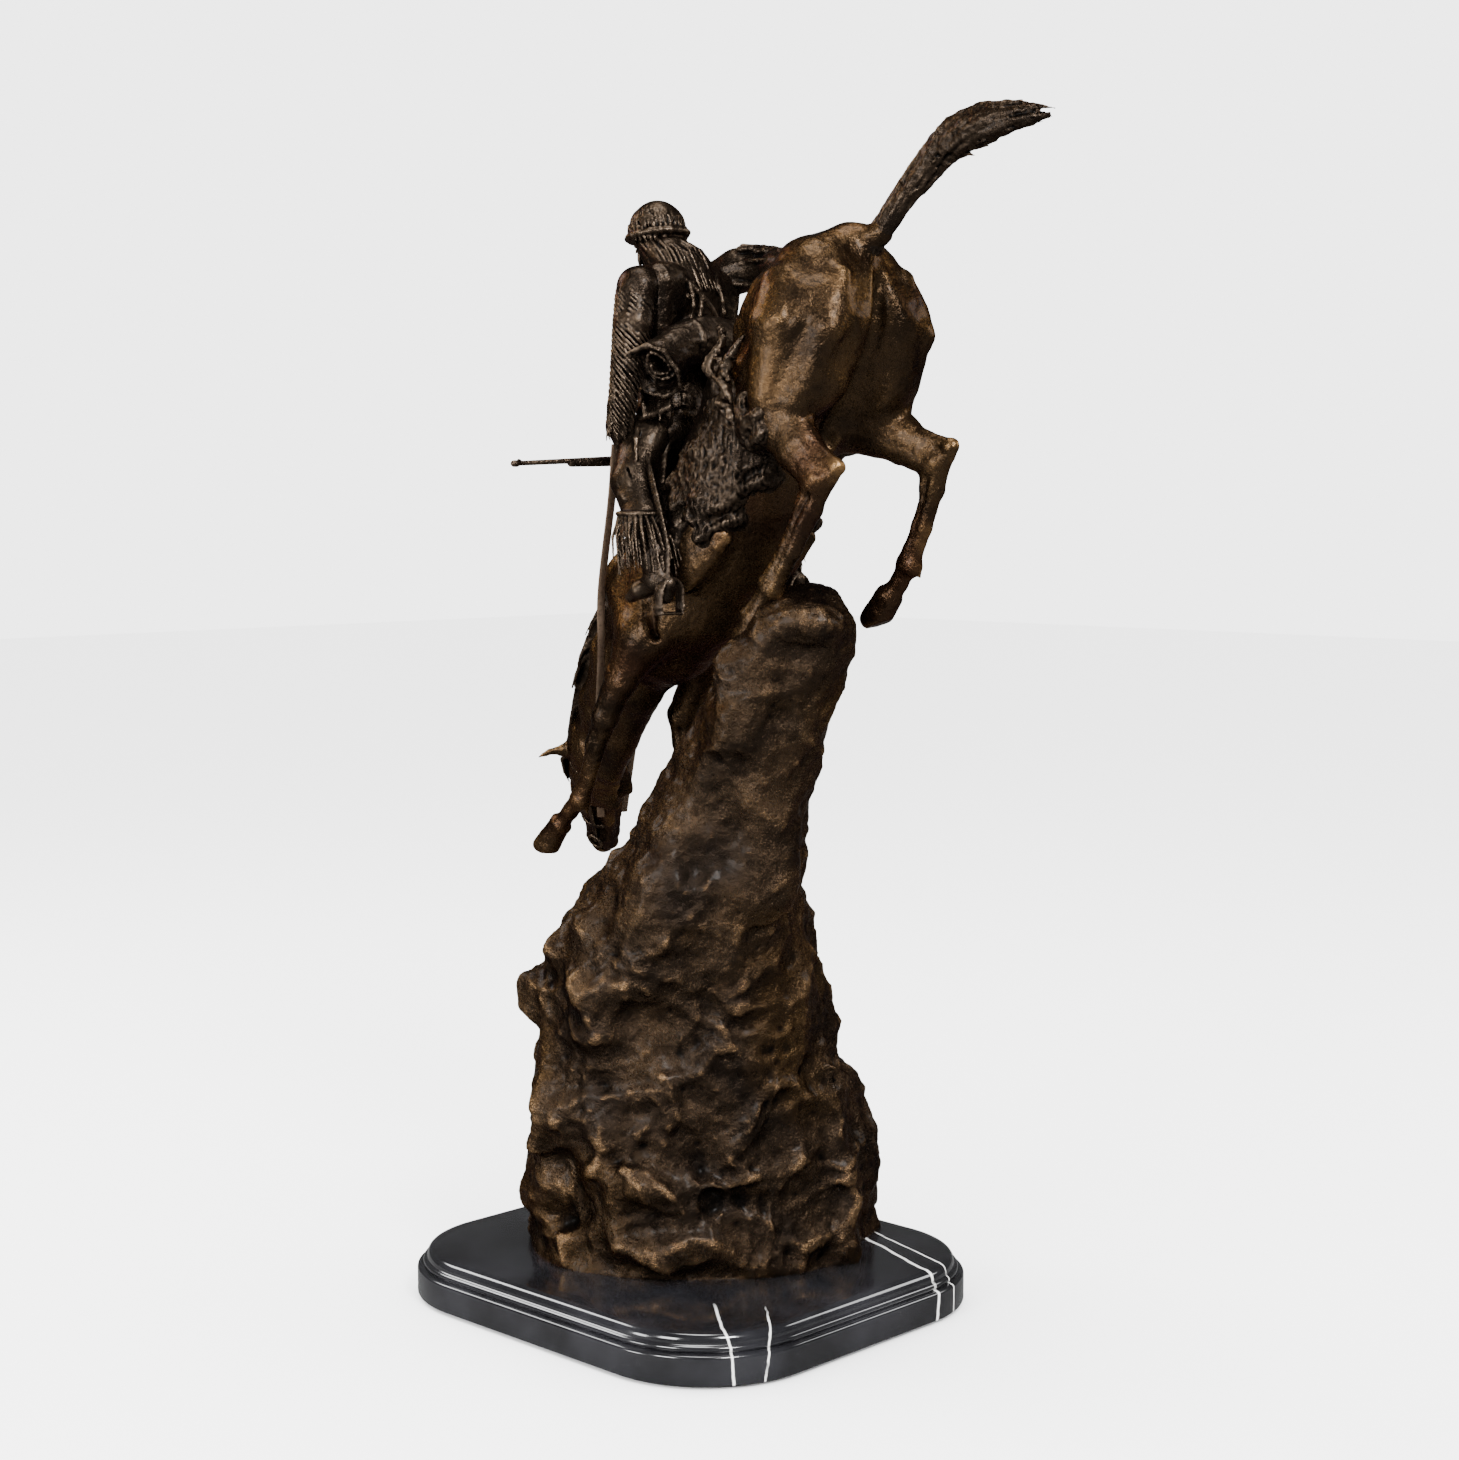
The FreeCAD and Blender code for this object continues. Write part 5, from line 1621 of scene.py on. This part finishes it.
def flat_strap(name, points, half_width, half_thick, material, nodes):
    """A flat strap: the node tree sweeps a ribbon along a path, and the result is kept as a mesh."""
    line = (curve_through(points, STRAP_STEPS) + FIGURE) * METRES
    path = bpy.data.meshes.new(name + "_path")
    path.from_pydata(line.tolist(), [(i, i + 1) for i in range(len(line) - 1)], [])
    piece = bpy.data.objects.new(name, path)
    bpy.context.collection.objects.link(piece)
    tree = swept_strap(name + "_sweep", material)
    sweep = piece.modifiers.new("sweep", "NODES")
    sweep.node_group = tree
    sizes = {"Half Width": half_width * METRES, "Half Thickness": half_thick * METRES}
    for socket in tree.interface.items_tree:
        if socket.in_out == "INPUT" and socket.name in sizes:
            sweep[socket.identifier] = sizes[socket.name]
    bpy.context.view_layer.update()
    evaluated = piece.evaluated_get(bpy.context.evaluated_depsgraph_get())
    ribbon = bpy.data.meshes.new_from_object(evaluated)
    piece.modifiers.remove(sweep)
    piece.data = ribbon
    for mark in ("fine", "broad"):
        layer = ribbon.attributes.new(mark, "FLOAT", "POINT")
        layer.data.foreach_set("value", np.full(len(ribbon.vertices), 0.5, np.float32))
    ribbon.polygons.foreach_set("use_smooth", np.ones(len(ribbon.polygons), bool))
    settle(piece, material, nodes)


def straps(stuff):
    bronze_strap = stuff["strap"]
    flat_strap("rein_left_cast", REIN_LEFT, REIN_HALF_WIDTH, REIN_HALF_THICK, bronze_strap,
               ["rein_left"])
    flat_strap("rein_right_cast", REIN_RIGHT, REIN_HALF_WIDTH, REIN_HALF_THICK, bronze_strap,
               ["rein_right"])
    flat_strap("hand_strap_cast", HAND_STRAP, 1.6, REIN_HALF_THICK, bronze_strap,
               ["hand_strap"])


def bridle(stuff):
    made = []
    for along, half_side, low, high in ((4, 13.5, -20, 15), (66, 9.8, -13, 11)):
        for i in range(24):
            a, b = (2 * math.pi * (i + k) / 24 for k in (0, 1))
            mid, tall = (high + low) / 2, (high - low) / 2
            ring = [on_head(along, (half_side + 0.8) * math.cos(q), mid + tall * math.sin(q))
                    for q in (a, b)]
            made.append(Bone(ring[0], ring[1], (1.9, 0.9), (1.9, 0.9), HEAD_ALONG, 0.3))
    for m in (LEFT, RIGHT):
        cheek = [on_head(4, 14 * m, -4), on_head(30, 14 * m, -4), on_head(66, 10.4 * m, -4),
                 on_head(82, 9.6 * m, -4)]
        for a, b in zip(cheek, cheek[1:]):
            made.append(Bone(a, b, (0.9, 1.8), (0.9, 1.8), HEAD_SIDE, 0.3))
        centre = on_head(84, 10.8 * m, -4)
        for i in range(16):
            a, b = (2 * math.pi * (i + k) / 16 for k in (0, 1))
            ring = [centre + (HEAD_ALONG * math.cos(q) + HEAD_UP * math.sin(q)) * 5.2 for q in (a, b)]
            made.append(Bone(ring[0], ring[1], (1.1, 1.1), (1.1, 1.1), HEAD_SIDE, 0.2))
    made.append(Bone(on_head(84, -10, -4), on_head(84, 10, -4), (1.2, 1.2), (1.2, 1.2), HEAD_ALONG, 0.4))
    skin = sculpt(made, 0.5)
    make_piece("bridle_cast", skin, stuff["tack"], ["bridle"])


def stirrup(stuff, m, name):
    centre = np.array([-40.0, 56.0 * m, 441.0])
    outline = []
    for i in range(13):
        angle = math.pi * i / 12
        outline.append(centre + np.array([0, 8.6 * math.cos(angle), 8.6 * math.sin(angle)]))
    outline += [centre + np.array([0, -9.2, -8]), centre + np.array([0, -8.4, -12]),
                centre + np.array([0, 8.4, -12]), centre + np.array([0, 9.2, -8]), outline[0]]
    made = [Bone(a, b, (3.6, 1.1), (3.6, 1.1), (1, 0, 0), 0.8) for a, b in zip(outline, outline[1:])]
    leather = curve_through([(-40, 58 * m, 450), (-38, 57 * m, 470), (-20, 50 * m, 505), (-2, 40 * m, 528)],
                            16)
    made += [Bone(a, b, (1.0, 2.6), (1.0, 2.6), (0, 1, 0), 0.4) for a, b in zip(leather, leather[1:])]
    skin = sculpt(made, 0.6)
    make_piece(name + "_cast", skin, stuff["tack"], [name])


# --- the fastenings and the stage -------------------------------------------------

def cad_pieces(stuff):
    finishes = {"felt_pad": "felt", "mounting_studs": "steel", "mounting_washers": "steel",
                "mounting_nuts": "steel", "mount_lugs": "steel"}
    for node, finish in finishes.items():
        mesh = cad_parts[node].data
        mesh.materials.clear()
        mesh.materials.append(stuff[finish])


def studio_light():
    """A white surround, that shows dark in polished metal so that the lamps stand out in it."""
    world = bpy.data.worlds.new("studio")
    world.use_nodes = True
    tree = world.node_tree
    path = tree.nodes.new("ShaderNodeLightPath")
    level = tree.nodes.new("ShaderNodeMapRange")
    level.inputs["To Min"].default_value = 4.0
    level.inputs["To Max"].default_value = 0.10
    tree.links.new(path.outputs["Is Glossy Ray"], level.inputs["Value"])
    tree.nodes["Background"].inputs["Color"].default_value = (1.0, 1.0, 1.0, 1.0)
    tree.links.new(level.outputs["Result"], tree.nodes["Background"].inputs["Strength"])
    bpy.context.scene.world = world


def stage():
    bpy.ops.mesh.primitive_plane_add(size=14.0, location=(0.0, 0.0, -0.0005))
    floor = bpy.context.object
    floor.name = "floor"
    pale = Nodes("pale_floor")
    path = pale.tree.nodes.new("ShaderNodeLightPath").outputs["Is Glossy Ray"]
    pale.link(pale.blend(path, (0.95, 0.95, 0.95), (0.05, 0.05, 0.05)), pale.shader.inputs["Base Color"])
    pale.shader.inputs["Roughness"].default_value = 0.9
    floor.data.materials.append(pale.material)
    studio_light()
    lamps = [
        ("key", (-1.6, 0.65, 1.7), 0.5, 62.0), ("side", (-0.3, 1.9, 0.9), 0.6, 32.0),
        ("top", (0.1, 0.0, 2.3), 0.8, 30.0), ("rim", (-0.9, -1.5, 1.1), 0.6, 11.0),
        ("back", (1.5, 0.4, 1.4), 0.7, 24.0), ("low_left", (0.5, 1.6, 0.35), 0.4, 12.0),
    ]
    for name, place, size, power in lamps:
        data = bpy.data.lights.new(name, "AREA")
        data.size = size
        data.energy = power
        lamp = bpy.data.objects.new(name, data)
        lamp.location = place
        aim = Vector((0.0, 0.0, 0.4)) - Vector(place)
        lamp.rotation_euler = aim.to_track_quat("-Z", "Y").to_euler()
        bpy.context.collection.objects.link(lamp)


def camera():
    data = bpy.data.cameras.new("view")
    data.lens = 60.33
    data.sensor_width = 36.0
    view = bpy.data.objects.new("view", data)
    view.location = (-1.06066, 1.06066, 0.495)
    turn = math.radians(-45.0 - 0.961)
    tilt = math.radians(-5.329)
    aim = Vector((math.cos(turn) * math.cos(tilt), math.sin(turn) * math.cos(tilt), math.sin(tilt)))
    view.rotation_euler = aim.to_track_quat("-Z", "Y").to_euler()
    bpy.context.collection.objects.link(view)
    bpy.context.scene.camera = view


camera()
stage()
finish = materials()
marble_base(finish)
cad_pieces(finish)
rock(finish)
horse(finish)
horse_tail(finish)
horse_mane(finish)
saddle_blanket(finish)
robe(finish, LEFT, "flank_robe_left")
robe(finish, RIGHT, "flank_robe_right")
saddle(finish)
bedroll(finish)
rider_torso(finish)
rider_head(finish)
fur_cap(finish)
rider_arms(finish)
rider_leg(finish, LEFT, "rider_leg_left", 51)
rider_leg(finish, RIGHT, "rider_leg_right", 52)
rifle(finish)
straps(finish)
bridle(finish)
stirrup(finish, LEFT, "stirrup_left")
stirrup(finish, RIGHT, "stirrup_right")
